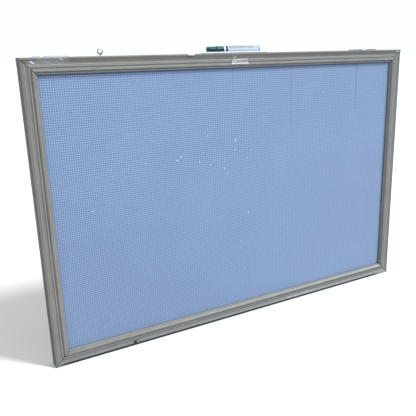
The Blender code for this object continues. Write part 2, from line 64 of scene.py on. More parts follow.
Piece = bpy.types.Object
Corner = tuple[float, float]
Span = tuple[float, float]
Band = tuple[float, float, float]
Colour = tuple[float, float, float]
Value = "Signal | float"

log = logging.getLogger("felt_board")


class Side(Enum):
    """A side of the frame, by the name of its node."""

    TOP = "top_rail"
    BOTTOM = "bottom_rail"
    LEFT = "left_stile"
    RIGHT = "right_stile"


class Part(Enum):
    """What is picked in edit mode."""

    CORNERS = "verts"
    EDGES = "edges"


# Shader maths


class Signal:
    """A number that varies over a surface: a shader socket that takes part in Python sums."""

    def __init__(self, paint: "Paint", socket: bpy.types.NodeSocket) -> None:
        """Wraps a socket of the material that paint makes."""
        self.paint = paint
        self.socket = socket

    def _math(self, operation: str, *values: Value) -> "Signal":
        """Adds one Math node on the given values."""
        made = self.paint.node("ShaderNodeMath", {"operation": operation}, dict(enumerate(values)))
        return Signal(self.paint, made.outputs[0])

    def __add__(self, other: Value) -> "Signal":
        """Sum."""
        return self._math("ADD", self, other)

    def __sub__(self, other: Value) -> "Signal":
        """Difference."""
        return self._math("SUBTRACT", self, other)

    def __rsub__(self, other: Value) -> "Signal":
        """Difference from a plain number."""
        return self._math("SUBTRACT", other, self)

    def __mul__(self, other: Value) -> "Signal":
        """Product."""
        return self._math("MULTIPLY", self, other)

    def __truediv__(self, other: Value) -> "Signal":
        """Quotient."""
        return self._math("DIVIDE", self, other)

    def __abs__(self) -> "Signal":
        """Size without sign."""
        return self._math("ABSOLUTE", self)

    __radd__ = __add__
    __rmul__ = __mul__

    def wave(self, pitch: float) -> "Signal":
        """A cosine wave of the given pitch, from 0 to 1."""
        return self._math("COSINE", self * (math.tau / pitch)) * 0.5 + 0.5

    def least(self, other: Value) -> "Signal":
        """The smaller of two numbers."""
        return self._math("MINIMUM", self, other)

    def most(self, other: Value) -> "Signal":
        """The larger of two numbers."""
        return self._math("MAXIMUM", self, other)

    def ramp(self, low: float, high: float) -> "Signal":
        """0 at low and 1 at high, with soft ends. Low may be the larger number.

        Args:
            low: where the result is 0.
            high: where it is 1.

        Returns:
            The result, from 0 to 1.
        """
        made = self.paint.node(
            "ShaderNodeMapRange",
            {"interpolation_type": "SMOOTHSTEP"},
            {"Value": self, "From Min": low, "From Max": high},
        )
        return Signal(self.paint, made.outputs["Result"])

    def band(self, middle: float, half_width: float, softness: float) -> "Signal":
        """1 within half_width of middle, and 0 beyond the soft edge. A Band holds these three numbers."""
        return abs(self - middle).ramp(half_width + softness, half_width)


class Paint:
    """A material in the making, round one Principled shader."""

    def __init__(self, name: str) -> None:
        """Starts a material of that name.

        Args:
            name: the material's name.
        """
        self.material = bpy.data.materials.new(name)
        self.material.use_nodes = True
        self.nodes = self.material.node_tree.nodes
        self.links = self.material.node_tree.links
        self.shader = self.nodes["Principled BSDF"]
        self.coordinates = self.node("ShaderNodeTexCoord").outputs["Object"]

    def node(
        self, kind: str, settings: dict[str, object] | None = None, values: dict[object, object] | None = None
    ) -> bpy.types.Node:
        """Adds a node.

        Args:
            kind: the node's type.
            settings: its own settings, which are set first.
            values: a value or a link for each of its sockets.

        Returns:
            The node.
        """
        made = self.nodes.new(kind)
        for name, setting in (settings or {}).items():
            setattr(made, name, setting)
        self.feed(made, values or {})
        return made

    def feed(self, node: bpy.types.Node, values: dict[object, object]) -> None:
        """Links or sets each of the given sockets of a node.

        Args:
            node: the node.
            values: a value or a link for each of its sockets.
        """
        for name, value in values.items():
            value = value.socket if isinstance(value, Signal) else value
            if isinstance(value, bpy.types.NodeSocket):
                self.links.new(value, node.inputs[name])
            else:
                node.inputs[name].default_value = value

    def axes(self) -> list[Signal]:
        """X, Y and Z of each point of the surface, in the board's frame."""
        split = self.node("ShaderNodeSeparateXYZ", None, {"Vector": self.coordinates})
        return [Signal(self, socket) for socket in split.outputs]

    def noise(
        self,
        size: float | Sequence[float],
        detail: float = 4,
        rough: float = 0.55,
        shift: float = 0.0,
        turn: float = 0.0,
    ) -> Signal:
        """Noise with lumps of a given size.

        Args:
            size: how long the lumps are along X, Y and Z, or one size for all three.
            detail: how many finer layers lie on the first.
            rough: how strong the finer layers are.
            shift: moves the pattern, so that two pieces don't match.
            turn: turns the lumps about Y, in degrees.

        Returns:
            The noise, from 0 to 1 about a half.
        """
        size = (size,) * 3 if isinstance(size, float) else tuple(size)
        place = {
            "Vector": self.coordinates,
            "Location": (shift,) * 3,
            "Rotation": (0.0, math.radians(turn), 0.0),
            "Scale": size,
        }
        moved = self.node("ShaderNodeMapping", {"vector_type": "TEXTURE"}, place)
        values = {"Vector": moved.outputs[0], "Scale": 1.0, "Detail": detail, "Roughness": rough}
        return Signal(self, self.node("ShaderNodeTexNoise", None, values).outputs[0])

    def painted(self, name: str) -> Signal:
        """The number that each corner of the mesh holds under a name."""
        return Signal(self, self.node("ShaderNodeAttribute", {"attribute_name": name}).outputs["Fac"])

    def mix(self, factor: Value, first: object, second: object) -> bpy.types.NodeSocket:
        """The first colour where factor is 0, and the second where it is 1.

        Args:
            factor: how much of the second colour shows.
            first: a colour or a link.
            second: a colour or a link.

        Returns:
            The mixed colour.
        """
        first = (*first, 1.0) if isinstance(first, tuple) else first
        second = (*second, 1.0) if isinstance(second, tuple) else second
        made = self.node("ShaderNodeMix", {"data_type": "RGBA"}, {0: factor, 6: first, 7: second})
        return made.outputs[2]

    def tinted(self, factor: Value, colour: object, tint: Colour) -> bpy.types.NodeSocket:
        """The colour, and the colour times a tint where factor is 1."""
        settings = {"data_type": "RGBA", "blend_type": "MULTIPLY"}
        return self.node("ShaderNodeMix", settings, {0: factor, 6: colour, 7: (*tint, 1.0)}).outputs[2]

    def bump(self, height: Signal, distance: float, strength: float = 1.0) -> bpy.types.NodeSocket:
        """Relief of the given distance between a height of 0 and of 1."""
        values = {"Height": height, "Distance": distance, "Strength": strength}
        return self.node("ShaderNodeBump", None, values).outputs["Normal"]

    def done(self, values: dict[object, object]) -> bpy.types.Material:
        """Feeds the shader and returns the finished material."""
        self.feed(self.shader, values)
        return self.material


# Finishes


@dataclass(frozen=True)
class RailWearAndPaintedLight:
    """How one rail looks: its tone, and the painted shade and painted light on it.

    It has a tone, painted shade in its outer and inner quirk and behind its bead, painted light in both
    quirks, painted highlights on its cove's inner end, fillet, bead, lip and sight wall, a painted shade over
    the cove and how strong it is, and a painted shade along its outer edge (where that ends, where it starts
    to fade) and how strong that is.
    """

    tone: float
    dirt_and_painted_shade: tuple[float, float, float]
    painted_quirk_light: tuple[float, float]
    wear_and_highlight: tuple[float, float, float, float, float]
    cove_shade: Band
    cove_strength: float
    edge: Span
    edge_shadow_strength: float


RAIL_WEAR_AND_PAINTED_LIGHT = {
    Side.TOP: RailWearAndPaintedLight(
        tone=0.93,
        dirt_and_painted_shade=(0.0, 0.0, 0.5),
        painted_quirk_light=(0.3, 0.25),
        wear_and_highlight=(0.55, 0.15, 0.05, 0.3, 0.0),
        cove_shade=(0.0076, 0.0024, 0.0035),
        cove_strength=0.36,
        edge=(0.0012, 0.0004),
        edge_shadow_strength=0.2,
    ),
    Side.BOTTOM: RailWearAndPaintedLight(
        tone=0.92,
        dirt_and_painted_shade=(0.4, 0.3, 0.0),
        painted_quirk_light=(0.0, 0.0),
        wear_and_highlight=(0.0, 0.15, 0.0, 0.0, 0.2),
        cove_shade=(0.0070, 0.0022, 0.0035),
        cove_strength=0.0,
        edge=(0.0054, 0.0040),
        edge_shadow_strength=0.99,
    ),
    Side.LEFT: RailWearAndPaintedLight(
        tone=0.97,
        dirt_and_painted_shade=(0.45, 0.0, 0.2),
        painted_quirk_light=(0.0, 0.45),
        wear_and_highlight=(0.0, 0.06, 0.0, 0.0, 0.0),
        cove_shade=(0.0034, 0.0014, 0.0035),
        cove_strength=0.35,
        edge=(0.0016, 0.0004),
        edge_shadow_strength=0.3,
    ),
    Side.RIGHT: RailWearAndPaintedLight(
        tone=0.93,
        dirt_and_painted_shade=(0.0, 0.0, 0.0),
        painted_quirk_light=(0.6, 0.2),
        wear_and_highlight=(0.0, 0.1, 0.06, 0.2, 0.0),
        cove_shade=(0.0070, 0.0022, 0.0035),
        cove_strength=0.0,
        edge=(0.0014, 0.0004),
        edge_shadow_strength=0.2,
    ),
}


@dataclass(frozen=True)
class GreigeWood:
    """Greige lacquer over a fine straight grain, with painted shade and painted highlights on its moulding,
    and raw wood at the back.

    Places across the rail are reaches from its outer edge. The dent, its scratch and the scuffed place are on
    the bottom rail, each with a band along X and one across.
    """

    side: Side
    half_width: float
    height: float
    back: float
    light: Colour = (0.190, 0.192, 0.178)
    dark: Colour = (0.122, 0.122, 0.113)
    # Dark colour of the painted shade in the quirks, behind the bead and over the cove, and of the mitre
    # joints.
    dirt_and_painted_shade: Colour = (0.03, 0.03, 0.028)
    # Pale colour of the scuffed place, also used for the painted highlights and the painted light in the
    # quirks.
    scuff_and_highlight: Colour = (0.42, 0.44, 0.46)
    # Near-black colour of the painted shade along the outer edge, and of the dent.
    grime_and_painted_shadow: Colour = (0.010, 0.015, 0.024)
    raw: Colour = (0.42, 0.29, 0.17)
    raw_light: Colour = (0.55, 0.4, 0.25)
    cool: Colour = (0.95, 1.0, 1.06)
    # Tint of the painted shade on the left stile's outer face.
    flank: Colour = (0.70, 0.77, 0.88)
    roughness: float = 0.5
    specular: float = 0.12
    tone_span: Span = (0.38, 0.78)
    raw_span: Span = (0.35, 0.7)
    wear_span: Span = (0.45, 0.7)
    speck_span: Span = (0.48, 0.6)
    mitre_dirt: float = 0.6
    grain_length: float = 0.08
    grain_width: float = 0.0009
    cloud_size: float = 0.05
    fleck_size: float = 0.0012
    wear_size: float = 0.012
    relief: float = 0.0002
    side_shift: float = 0.37
    cove_end: Band = (0.0132, 0.0004, 0.0010)
    quirks: tuple[Band, Band] = ((0.0139, 0.0005, 0.0006), (0.0181, 0.0005, 0.0006))
    fillet: Band = (0.0160, 0.0008, 0.0006)
    crest: Band = (0.0226, 0.0006, 0.0018)
    behind_bead: Band = (0.0260, 0.0006, 0.0008)
    lip: Band = (0.0280, 0.0004, 0.0006)
    sight_wall: Span = (0.0288, 0.0294)
    mitre: Span = (0.0013, 0.0005)
    outer_face: Span = (0.0006, 0.0002)
    raw_back: Span = (0.0006, 0.0001)
    edge_fades: tuple[Span, Span] = ((0.004, 0.022), (0.025, 0.055))
    dent: tuple[Band, Band] = ((-0.2885, 0.0028, 0.0010), (0.0068, 0.0026, 0.0010))
    scratch: tuple[Band, Band] = ((-0.2835, 0.0040, 0.0015), (0.0092, 0.0006, 0.0006))
    scratch_slope: float = 0.1
    scuffed: tuple[Band, Band] = ((0.157, 0.038, 0.008), (0.0085, 0.0028, 0.0015))
    speck_size: tuple[float, float, float] = (0.009, 0.004, 0.0024)
    # A pale band on the bottom rail's cove, and a painted highlight on its bead's upper flank.
    pale_cove: Band = (0.007, 0.003, 0.003)
    bead_highlight: Band = (0.0257, 0.0008, 0.0015)

    def make(self, name: str) -> bpy.types.Material:
        """Builds the material.

        Args:
            name: the material's name.

        Returns:
            The material.
        """
        paint = Paint(name)
        x, y, z = paint.axes()
        across = self.side in (Side.TOP, Side.BOTTOM)
        reach = {
            Side.TOP: self.height - z,
            Side.BOTTOM: z,
            Side.LEFT: x + self.half_width,
            Side.RIGHT: self.half_width - x,
        }[self.side]
        along, end = (x, self.half_width) if across else (z - self.height / 2, self.height / 2)
        shift = self.side_shift * (1 + list(Side).index(self.side))
        grain = self._grain(paint, across, self.grain_length, self.grain_width, shift)
        fibre = self._grain(paint, across, self.grain_length / 4, self.grain_width / 3, shift + 0.1)
        cloud = paint.noise(self.cloud_size, 3, 0.5, shift)
        fleck = paint.noise(self.fleck_size, 3, 0.7, shift)
        tone = (grain * 0.4 + fibre * 0.3 + cloud * 0.2 + fleck * 0.25).ramp(*self.tone_span)
        colour = paint.mix(tone, self.dark, self.light)
        coolness = x.ramp(-self.half_width, self.half_width)
        if self.side is Side.BOTTOM:
            coolness = coolness * 0.4 + 0.6
        colour = paint.tinted(coolness, colour, self.cool)
        rail_look = RAIL_WEAR_AND_PAINTED_LIGHT[self.side]
        colour = paint.tinted(1.0, colour, (rail_look.tone,) * 3)
        wear_and_highlight = paint.noise(self.wear_size, 4, 0.65, shift)
        # Painted highlights and painted light in the quirks, with real rubbing and the scuffed place.
        colour = paint.mix(self._wear_and_highlights(paint, x, reach, wear_and_highlight), colour, self.scuff_and_highlight)
        mitre = abs(end - abs(along) - reach).ramp(*self.mitre)
        # Painted shade in the quirks, behind the bead and over the cove, and dark mitre joints.
        colour = paint.mix(self._painted_shade(reach).most(mitre * self.mitre_dirt), colour, self.dirt_and_painted_shade)
        # Painted shade along the outer edge, a painted ground shadow on the bottom rail, and the dark dent
        # there.
        colour = paint.mix(self._edge_shadow_and_dent(x, reach), colour, self.grime_and_painted_shadow)
        if self.side is Side.LEFT:
            # Painted shade on the left stile's outer face, which turns away from the light.
            colour = paint.tinted(reach.ramp(*self.outer_face), colour, self.flank)
        start, end = self.raw_back
        fresh = y.ramp(self.back - start, self.back - end)
        colour = paint.mix(fresh, colour, paint.mix(grain.ramp(*self.raw_span), self.raw, self.raw_light))
        return paint.done(
            {
                "Base Color": colour,
                "Roughness": (1 - tone) * 0.15 + self.roughness + fresh * 0.25,
                "Specular IOR Level": self.specular,
                "Normal": paint.bump(grain * 0.5 + fibre * 0.3 + fleck * 0.2, self.relief),
            }
        )

    def _wear_and_highlights(self, paint: Paint, x: Signal, reach: Signal, wear_and_highlight: Signal) -> Signal:
        """Painted highlights and painted light in the quirks, with some real rubbing and the bottom rail's
        pale places.

        Args:
            paint: the material in the making.
            x: place along the board.
            reach: distance from the rail's outer edge.
            wear_and_highlight: noise that breaks up the rubbed crest and its highlight.

        Returns:
            How strongly each point is lightened, from 0 to 1.
        """
        rail_look = RAIL_WEAR_AND_PAINTED_LIGHT[self.side]
        on_cove, on_fillet, on_bead, on_lip, on_wall = rail_look.wear_and_highlight
        # Painted highlight on the bead's crest, with a little real rubbing broken up by noise.
        worn = reach.band(*self.crest) * (wear_and_highlight.ramp(*self.wear_span) * 0.1 + on_bead)
        if self.side is Side.BOTTOM:
            worn = worn.most(self._dust_and_highlight(paint, x, reach, wear_and_highlight))
        # Painted highlights on the cove's inner end, the fillet and the lip.
        for place, strength in ((self.cove_end, on_cove), (self.fillet, on_fillet), (self.lip, on_lip)):
            worn = worn.most(reach.band(*place) * strength)
        # Painted light on the sight wall.
        worn = worn.most(reach.ramp(*self.sight_wall) * on_wall)
        # Painted light that lifts the shade in both quirks.
        for quirk, strength in zip(self.quirks, rail_look.painted_quirk_light):
            worn = worn.most(reach.band(*quirk) * strength)
        return worn

    def _painted_shade(self, reach: Signal) -> Signal:
        """Painted shade in the quirks and behind the bead, and the painted shade over the cove.

        Args:
            reach: distance from the rail's outer edge.

        Returns:
            How much painted shade each point gets, from 0 to 1.
        """
        rail_look = RAIL_WEAR_AND_PAINTED_LIGHT[self.side]
        dirt_and_painted_shade = reach.band(*rail_look.cove_shade) * rail_look.cove_strength
        for place, strength in zip((*self.quirks, self.behind_bead), rail_look.dirt_and_painted_shade):
            dirt_and_painted_shade = dirt_and_painted_shade.most(reach.band(*place) * strength)
        return dirt_and_painted_shade

    def _edge_shadow_and_dent(self, x: Signal, reach: Signal) -> Signal:
        """Painted shade on the outer edge (a ground shadow on the bottom rail, weaker at its ends) and the
        dent.

        Args:
            x: place along the board.
            reach: distance from the rail's outer edge.

        Returns:
            How dark each point is, from 0 to 1.
        """
        rail_look = RAIL_WEAR_AND_PAINTED_LIGHT[self.side]
        dark = reach.ramp(*rail_look.edge) * rail_look.edge_shadow_strength
        if self.side is Side.BOTTOM:
            left, right = self.edge_fades
            ends = (self.half_width - x).ramp(*right) * (self.half_width + x).ramp(*left)
            dark = (dark * (ends * 0.75 + 0.25)).most(self._dent(x, reach))
        return dark

    def _dent(self, x: Signal, reach: Signal) -> Signal:
        """Dirt in the dent near the left corner, and a scratch that runs from it.

        Args:
            x: place along the board.
            reach: distance from the rail's outer edge.

        Returns:
            How dark each point is, from 0 to 1.
        """
        dent_along, dent_up = self.dent
        spot = x.band(*dent_along) * reach.band(*dent_up)
        scratch_along, scratch_up = self.scratch
        sloped = reach - (x - dent_along[0]) * self.scratch_slope
        scratch = x.band(*scratch_along) * sloped.band(*scratch_up)
        return spot.most(scratch * 0.75)

    def _dust_and_highlight(self, paint: Paint, x: Signal, reach: Signal, wear_and_highlight: Signal) -> Signal:
        """A pale band on the cove and a painted highlight on the bead, stronger to the right, and one scuffed
        place.

        Args:
            paint: the material in the making.
            x: place along the board.
            reach: distance from the rail's outer edge.
            wear_and_highlight: noise that breaks up the band and the highlight.

        Returns:
            How pale or highlit each point is.
        """
        scuffed_along, scuffed_up = self.scuffed
        speck = paint.noise(self.speck_size, 4, 0.7).ramp(*self.speck_span)
        scuffed = x.band(*scuffed_along) * reach.band(*scuffed_up) * speck
        # The pale band on the cove, and the bead's painted highlight.
        pale_cove_and_highlight = reach.band(*self.pale_cove).most(reach.band(*self.bead_highlight) * 1.6)
        return (pale_cove_and_highlight * (wear_and_highlight * 0.15 + x * 0.25 + 0.05)).most(scuffed * 0.9)

    def _grain(self, paint: Paint, across: bool, length: float, width: float, shift: float) -> Signal:
        """Streaks along the rail."""
        return paint.noise((length, width, width) if across else (width, width, length), 3, 0.6, shift)


@dataclass(frozen=True)
class Crease:
    """A crease that hangs down in the felt.

    It has its place in X, where it starts and ends below the board's top edge, and how dark its painted shade
    is.
    """

    place: float
    start: float
    end: float
    strength: float


@dataclass(frozen=True)
class PowderFelt:
    """Powder-blue felt with a fine square pattern of light cells between darker lines.

    To the right the lines between its columns are weaker, so that its rows stand out. The pattern is crisper
    to the left and duller farther down, and its mean is taken off, so that the felt's tone stays the same.
    """

    top: float
    light: Colour = (0.208, 0.293, 0.458)
    dark: Colour = (0.104, 0.155, 0.258)
    # Dark colour of the painted shade along the creases, and of one short stroke.
    crease: Colour = (0.07, 0.10, 0.17)
    lower_left_tint: Colour = (0.91, 0.91, 0.90)
    # Tint of the painted shadow under the top rail.
    grime_and_painted_shadow: Colour = (0.48, 0.50, 0.57)
    # Tint of the painted light beside the right lip, in the right stile's shadow.
    lifted: Colour = (1.35, 1.33, 1.25)
    pitch: float = 0.0043
    offset: float = 0.00215
    mean: float = 0.273
    rows_span: Span = (-0.45, -0.15)
    row_floor: float = 0.05
    row_rise: float = 0.16
    cell_span: Span = (0.02, 0.8)
    fuzz_span: Span = (0.3, 0.7)
    crisp_left: Span = (0.45, -0.45)
    crisp_floor: float = 0.43
    crisp_rise: float = 0.6
    dull_down: Span = (0.05, 0.4)
    dull_share: float = 0.33
    fuzz_size: float = 0.0011
    cloud_size: float = 0.15
    drift_size: float = 0.03
    drift: float = 0.0005
    relief: float = 0.0005
    creases: tuple[Crease, ...] = (
        Crease(0.3205, 0.032, 0.165, 0.75),
        Crease(0.1250, 0.032, 0.200, 0.35),
        Crease(-0.0280, 0.032, 0.120, 0.3),
    )
    crease_line: Span = (0.0004, 0.0014)
    crease_fade: float = 0.01
    stroke: tuple[Band, Band] = ((-0.0138, 0.0215, 0.003), (0.0368, 0.0004, 0.0008))
    stroke_strength: float = 0.55
    tint_down: Span = (0.1, 0.55)
    tint_left: Span = (0.15, -0.4)
    below_rail: Span = (0.0340, 0.0308)
    beside_lip: Span = (0.4205, 0.4255)

    def make(self, name: str) -> bpy.types.Material:
        """Builds the material.

        Args:
            name: the material's name.

        Returns:
            The material.
        """
        paint = Paint(name)
        x, _, z = paint.axes()
        down = self.top - z
        fuzz = paint.noise(self.fuzz_size, 3, 0.7)
        drift = (paint.noise(self.drift_size, 2, 0.5) - 0.5) * self.drift
        rows = x.ramp(*self.rows_span) * self.row_rise + self.row_floor
        columns = (x + drift + self.offset).wave(self.pitch)
        cell = (columns * (1 - rows) + rows) * (z + drift).wave(self.pitch)
        cloud = paint.noise(self.cloud_size, 4, 0.6)
        crisp = x.ramp(*self.crisp_left) * self.crisp_rise + self.crisp_floor
        crisp = crisp * (1 - down.ramp(*self.dull_down) * self.dull_share)
        pattern = (cell.ramp(*self.cell_span) - rows * self.mean - self.mean) * crisp
        tone = pattern + fuzz.ramp(*self.fuzz_span) * 0.2 + (cloud - 0.5) * 0.25 + 0.2
        # Painted shade along the creases, and one short dark stroke.
        colour = self._creased(paint, x, down, paint.mix(tone, self.dark, self.light))
        # Darker towards the lower left.
        colour = paint.tinted(down.ramp(*self.tint_down) * x.ramp(*self.tint_left), colour, self.lower_left_tint)
        # Painted shadow on the felt under the top rail.
        colour = paint.tinted(down.ramp(*self.below_rail), colour, self.grime_and_painted_shadow)
        # Painted light beside the right lip, which weakens the right stile's shadow.
        colour = paint.tinted(x.ramp(*self.beside_lip), colour, self.lifted)
        return paint.done(
            {
                "Base Color": colour,
                "Roughness": 0.95,
                "Specular IOR Level": 0.1,
                "Sheen Weight": 0.1,
                "Sheen Roughness": 0.6,
                "Normal": paint.bump(cell * 0.6 + fuzz * 0.4, self.relief),
            }
        )

    def _creased(self, paint: Paint, x: Signal, down: Signal, colour: object) -> bpy.types.NodeSocket:
        """Paints shade along the felt's creases, and darkens one short stroke.

        Args:
            paint: the material in the making.
            x: place along the board.
            down: distance below the board's top edge.
            colour: the felt's colour without them.

        Returns:
            The felt's colour with them.
        """
        for crease in self.creases:
            line = x.band(crease.place, *self.crease_line)
            line = line * down.ramp(crease.start - self.crease_fade, crease.start)
            line = line * down.ramp(crease.end, crease.end / 2)
            colour = paint.mix(line * crease.strength, colour, self.crease)
        stroke_along, stroke_down = self.stroke
        line = x.band(*stroke_along) * down.band(*stroke_down)
        return paint.mix(line * self.stroke_strength, colour, self.crease)


@dataclass(frozen=True)
class PressedFibre:
    """A board of pressed fibre, such as softboard or hardboard."""

    light: Colour
    dark: Colour
    fleck_size: float
    relief: float
    cloud_size: float = 0.11

    def make(self, name: str) -> bpy.types.Material:
        """Builds the material.

        Args:
            name: the material's name.

        Returns:
            The material.
        """
        paint = Paint(name)
        fleck = paint.noise(self.fleck_size, 5, 0.7)
        cloud = paint.noise(self.cloud_size, 3, 0.5)
        tone = (fleck * 0.7 + cloud * 0.3).ramp(0.35, 0.65)
        return paint.done(
            {
                "Base Color": paint.mix(tone, self.dark, self.light),
                "Roughness": 0.85 - tone * 0.15,
                "Normal": paint.bump(fleck, self.relief),
            }
        )


@dataclass(frozen=True)
class BrightMetal:
    """Zinc-plated steel with fine scratches, duller patches and one height darkened by painted shade.

    The shaded height is given by its middle and half its extent.
    """

    colour: Colour = (0.62, 0.63, 0.64)
    # Colour of the duller patches and of the painted shade.
    tarnish_and_shade: Colour = (0.2, 0.22, 0.25)
    shaded_height: Span = (-1.0, 0.001)
    fade: float = 0.0008
    roughness: float = 0.14
    patch_size: float = 0.0025
    scratch_size: tuple[float, float, float] = (0.0003, 0.0003, 0.0025)
    relief: float = 0.00003

    def make(self, name: str) -> bpy.types.Material:
        """Builds the material.

        Args:
            name: the material's name.

        Returns:
            The material.
        """
        paint = Paint(name)
        height = paint.axes()[2]
        patch = paint.noise(self.patch_size, 4, 0.6).ramp(0.45, 0.75) * 0.7
        # Painted shade over the shaded height.
        patch = patch.most(height.band(*self.shaded_height, self.fade))
        scratch = paint.noise(self.scratch_size, 2, 0.5)
        return paint.done(
            {
                "Base Color": paint.mix(patch, self.colour, self.tarnish_and_shade),
                "Metallic": 1.0,
                "Roughness": patch * 0.2 + scratch * 0.1 + self.roughness,
                "Normal": paint.bump(scratch, self.relief),
            }
        )


@dataclass(frozen=True)
class MouldedPlastic:
    """Injection-moulded plastic with a faint flow texture."""

    colour: Colour
    shade: Colour
    roughness: float = 0.25
    coat: float = 0.3
    flow_size: tuple[float, float, float] = (0.008, 0.002, 0.002)
    grime_size: float = 0.0033
    relief: float = 0.00004

    def make(self, name: str) -> bpy.types.Material:
        """Builds the material.

        Args:
            name: the material's name.

        Returns:
            The material.
        """
        paint = Paint(name)
        flow = paint.noise(self.flow_size, 3, 0.5)
        grime_and_painted_shadow = paint.noise(self.grime_size, 4, 0.6).ramp(0.5, 0.8)
        return paint.done(
            {
                "Base Color": paint.mix((flow * 0.5 + grime_and_painted_shadow * 0.5).ramp(0.3, 0.8), self.colour, self.shade),
                "Roughness": grime_and_painted_shadow * 0.2 + self.roughness,
                "Coat Weight": self.coat,
                "Coat Roughness": 0.1,
                "Normal": paint.bump(flow, self.relief),
            }
        )


@dataclass(frozen=True)
class CapPlastic:
    """Deep green plastic, with painted shade on its lower side and a painted highlight on its upper side.

    A rise is how high a point lies over the axis, as a share of the radius.
    """

    height: float
    radius: float
    # Colour of the painted shade on the lower side.
    deep: Colour = (0.0015, 0.020, 0.024)
    green: Colour = (0.004, 0.043, 0.046)
    # Colour of the painted highlight on the upper side.
    pale: Colour = (0.034, 0.096, 0.100)
    green_rise: Span = (-0.55, 0.25)
    highlight_rise: Span = (0.35, 0.95)
    flow_size: tuple[float, float, float] = (0.02, 0.0018, 0.0018)
    relief: float = 0.00004

    def make(self, name: str) -> bpy.types.Material:
        """Builds the material.

        Args:
            name: the material's name.

        Returns:
            The material.
        """
        paint = Paint(name)
        _, _, z = paint.axes()
        flow = paint.noise(self.flow_size, 3, 0.5)
        rise = (z - self.height) / self.radius + (flow - 0.5) * 0.7
        # Painted shade, darkest on the lower side.
        colour = paint.mix(rise.ramp(*self.green_rise), self.deep, self.green)
        # Painted highlight on the upper side.
        colour = paint.mix(rise.ramp(*self.highlight_rise), colour, self.pale)
        return paint.done(
            {
                "Base Color": colour,
                "Roughness": flow * 0.1 + 0.22,
                "Specular IOR Level": 0.12,
                "Normal": paint.bump(flow, self.relief),
            }
        )


@dataclass(frozen=True)
class BarrelPlastic:
    """The barrel's white plastic, darker above and lightened below by painted light from the film under it.

    It has a dark ring by the collar and a plain worn stripe along its upper front, which is given by its band
    along the barrel, its band above the axis and where it fades over the top. A rise is how high a point lies
    over the axis, as a share of the radius.
    """

    start: float
    height: float
    radius: float
    ring: Band = (0.0021, 0.0021, 0.0002)
    stripe_along: Band = (0.037, 0.029, 0.0006)
    stripe_up: Band = (0.0048, 0.0019, 0.0008)
    stripe_front: Span = (0.0005, -0.001)
    white: Colour = (0.38, 0.46, 0.56)
    shade: Colour = (0.33, 0.41, 0.52)
    # Darker tone on the upper side.
    upper_tone: Colour = (0.22, 0.26, 0.32)
    # Colour of the painted light on the lower side, thrown up by the film under the marker.
    painted_film_light: Colour = (0.62, 0.72, 0.84)
    navy: Colour = (0.02, 0.022, 0.05)
    taupe: Colour = (0.16, 0.15, 0.155)
    upper_rise: Span = (-0.1, 0.6)
    painted_film_light_rise: Span = (-0.25, -0.85)
    flow_size: tuple[float, float, float] = (0.008, 0.002, 0.002)
    worn_size: tuple[float, float, float] = (0.012, 0.003, 0.003)
    relief: float = 0.00003

    def make(self, name: str) -> bpy.types.Material:
        """Builds the material.

        Args:
            name: the material's name.

        Returns:
            The material.
        """
        paint = Paint(name)
        x, y, z = paint.axes()
        along = x - self.start
        flow = paint.noise(self.flow_size, 3, 0.5)
        colour = paint.mix(flow.ramp(0.35, 0.75) * 0.5, self.white, self.shade)
        rise = (z - self.height) / self.radius
        # Darker above.
        colour = paint.mix(rise.ramp(*self.upper_rise) * 0.85, colour, self.upper_tone)
        # Painted light on the lower side, from the film under the marker.
        colour = paint.mix(rise.ramp(*self.painted_film_light_rise), colour, self.painted_film_light)
        upper = (z - self.height).band(*self.stripe_up) * y.ramp(*self.stripe_front)
        worn = paint.noise(self.worn_size, 4, 0.6).ramp(0.35, 0.6)
        stripe = along.band(*self.stripe_along) * upper * worn
        colour = paint.mix(stripe * 0.95, colour, self.taupe)
        colour = paint.mix(along.band(*self.ring), colour, self.navy)
        return paint.done(
            {
                "Base Color": colour,
                "Roughness": flow * 0.1 + 0.4,
                "Specular IOR Level": 0.15,
                "Normal": paint.bump(flow, self.relief),
            }
        )


@dataclass(frozen=True)
class ClearFilm:
    """Clear wrapping film: almost unseen where it lies flat, whitish along its folds and faint streaks, with
    painted glints on its strongest folds.
    """

    haze: float = 0.1
    streak: float = 0.25
    slant: float = 35.0
    lump: Span = (0.03, 0.004)
    relief: float = 0.0003
    tint: Colour = (0.32, 0.37, 0.44)
    # Colour of the painted glints.
    bright: Colour = (0.62, 0.70, 0.82)

    def make(self, name: str) -> bpy.types.Material:
        """Builds the material.

        Args:
            name: the material's name.

        Returns:
            The material.
        """
        paint = Paint(name)
        long, short = self.lump
        lumps = paint.noise((long, short, short), 1, 0.5, 0.2, self.slant)
        line = abs(lumps - 0.5).ramp(0.05, 0.0)
        cloud = paint.noise(long, 2, 0.5).ramp(0.4, 0.65)
        fold = paint.painted("fold")
        faint = line * cloud * self.streak + cloud * (self.haze / 2) + self.haze / 2
        return paint.done(
            {
                # Painted glints where a fold is strongest, and faint streaks.
                "Base Color": paint.mix(fold.ramp(0.5, 0.95).most(line * 0.3), self.tint, self.bright),
                "Roughness": 0.3,
                "Specular IOR Level": 0.3,
                "Alpha": (fold.ramp(0.0, 0.6) * 0.92 + faint * paint.painted("body")).least(1.0),
                "Normal": paint.bump(lumps, self.relief),
            }
        )


@dataclass(frozen=True)
class PaleFloor:
    """A plain, nearly white floor."""

    colour: Colour = (0.64, 0.64, 0.65)
    patch: Colour = (0.62, 0.62, 0.63)
    patch_size: float = 0.5

    def make(self, name: str) -> bpy.types.Material:
        """Builds the material.

        Args:
            name: the material's name.

        Returns:
            The material.
        """
        paint = Paint(name)
        values = {"Roughness": 0.8, "Specular IOR Level": 0.2}
        patches = paint.noise(self.patch_size, 2)
        return paint.done({"Base Color": paint.mix(patches, self.colour, self.patch), **values})


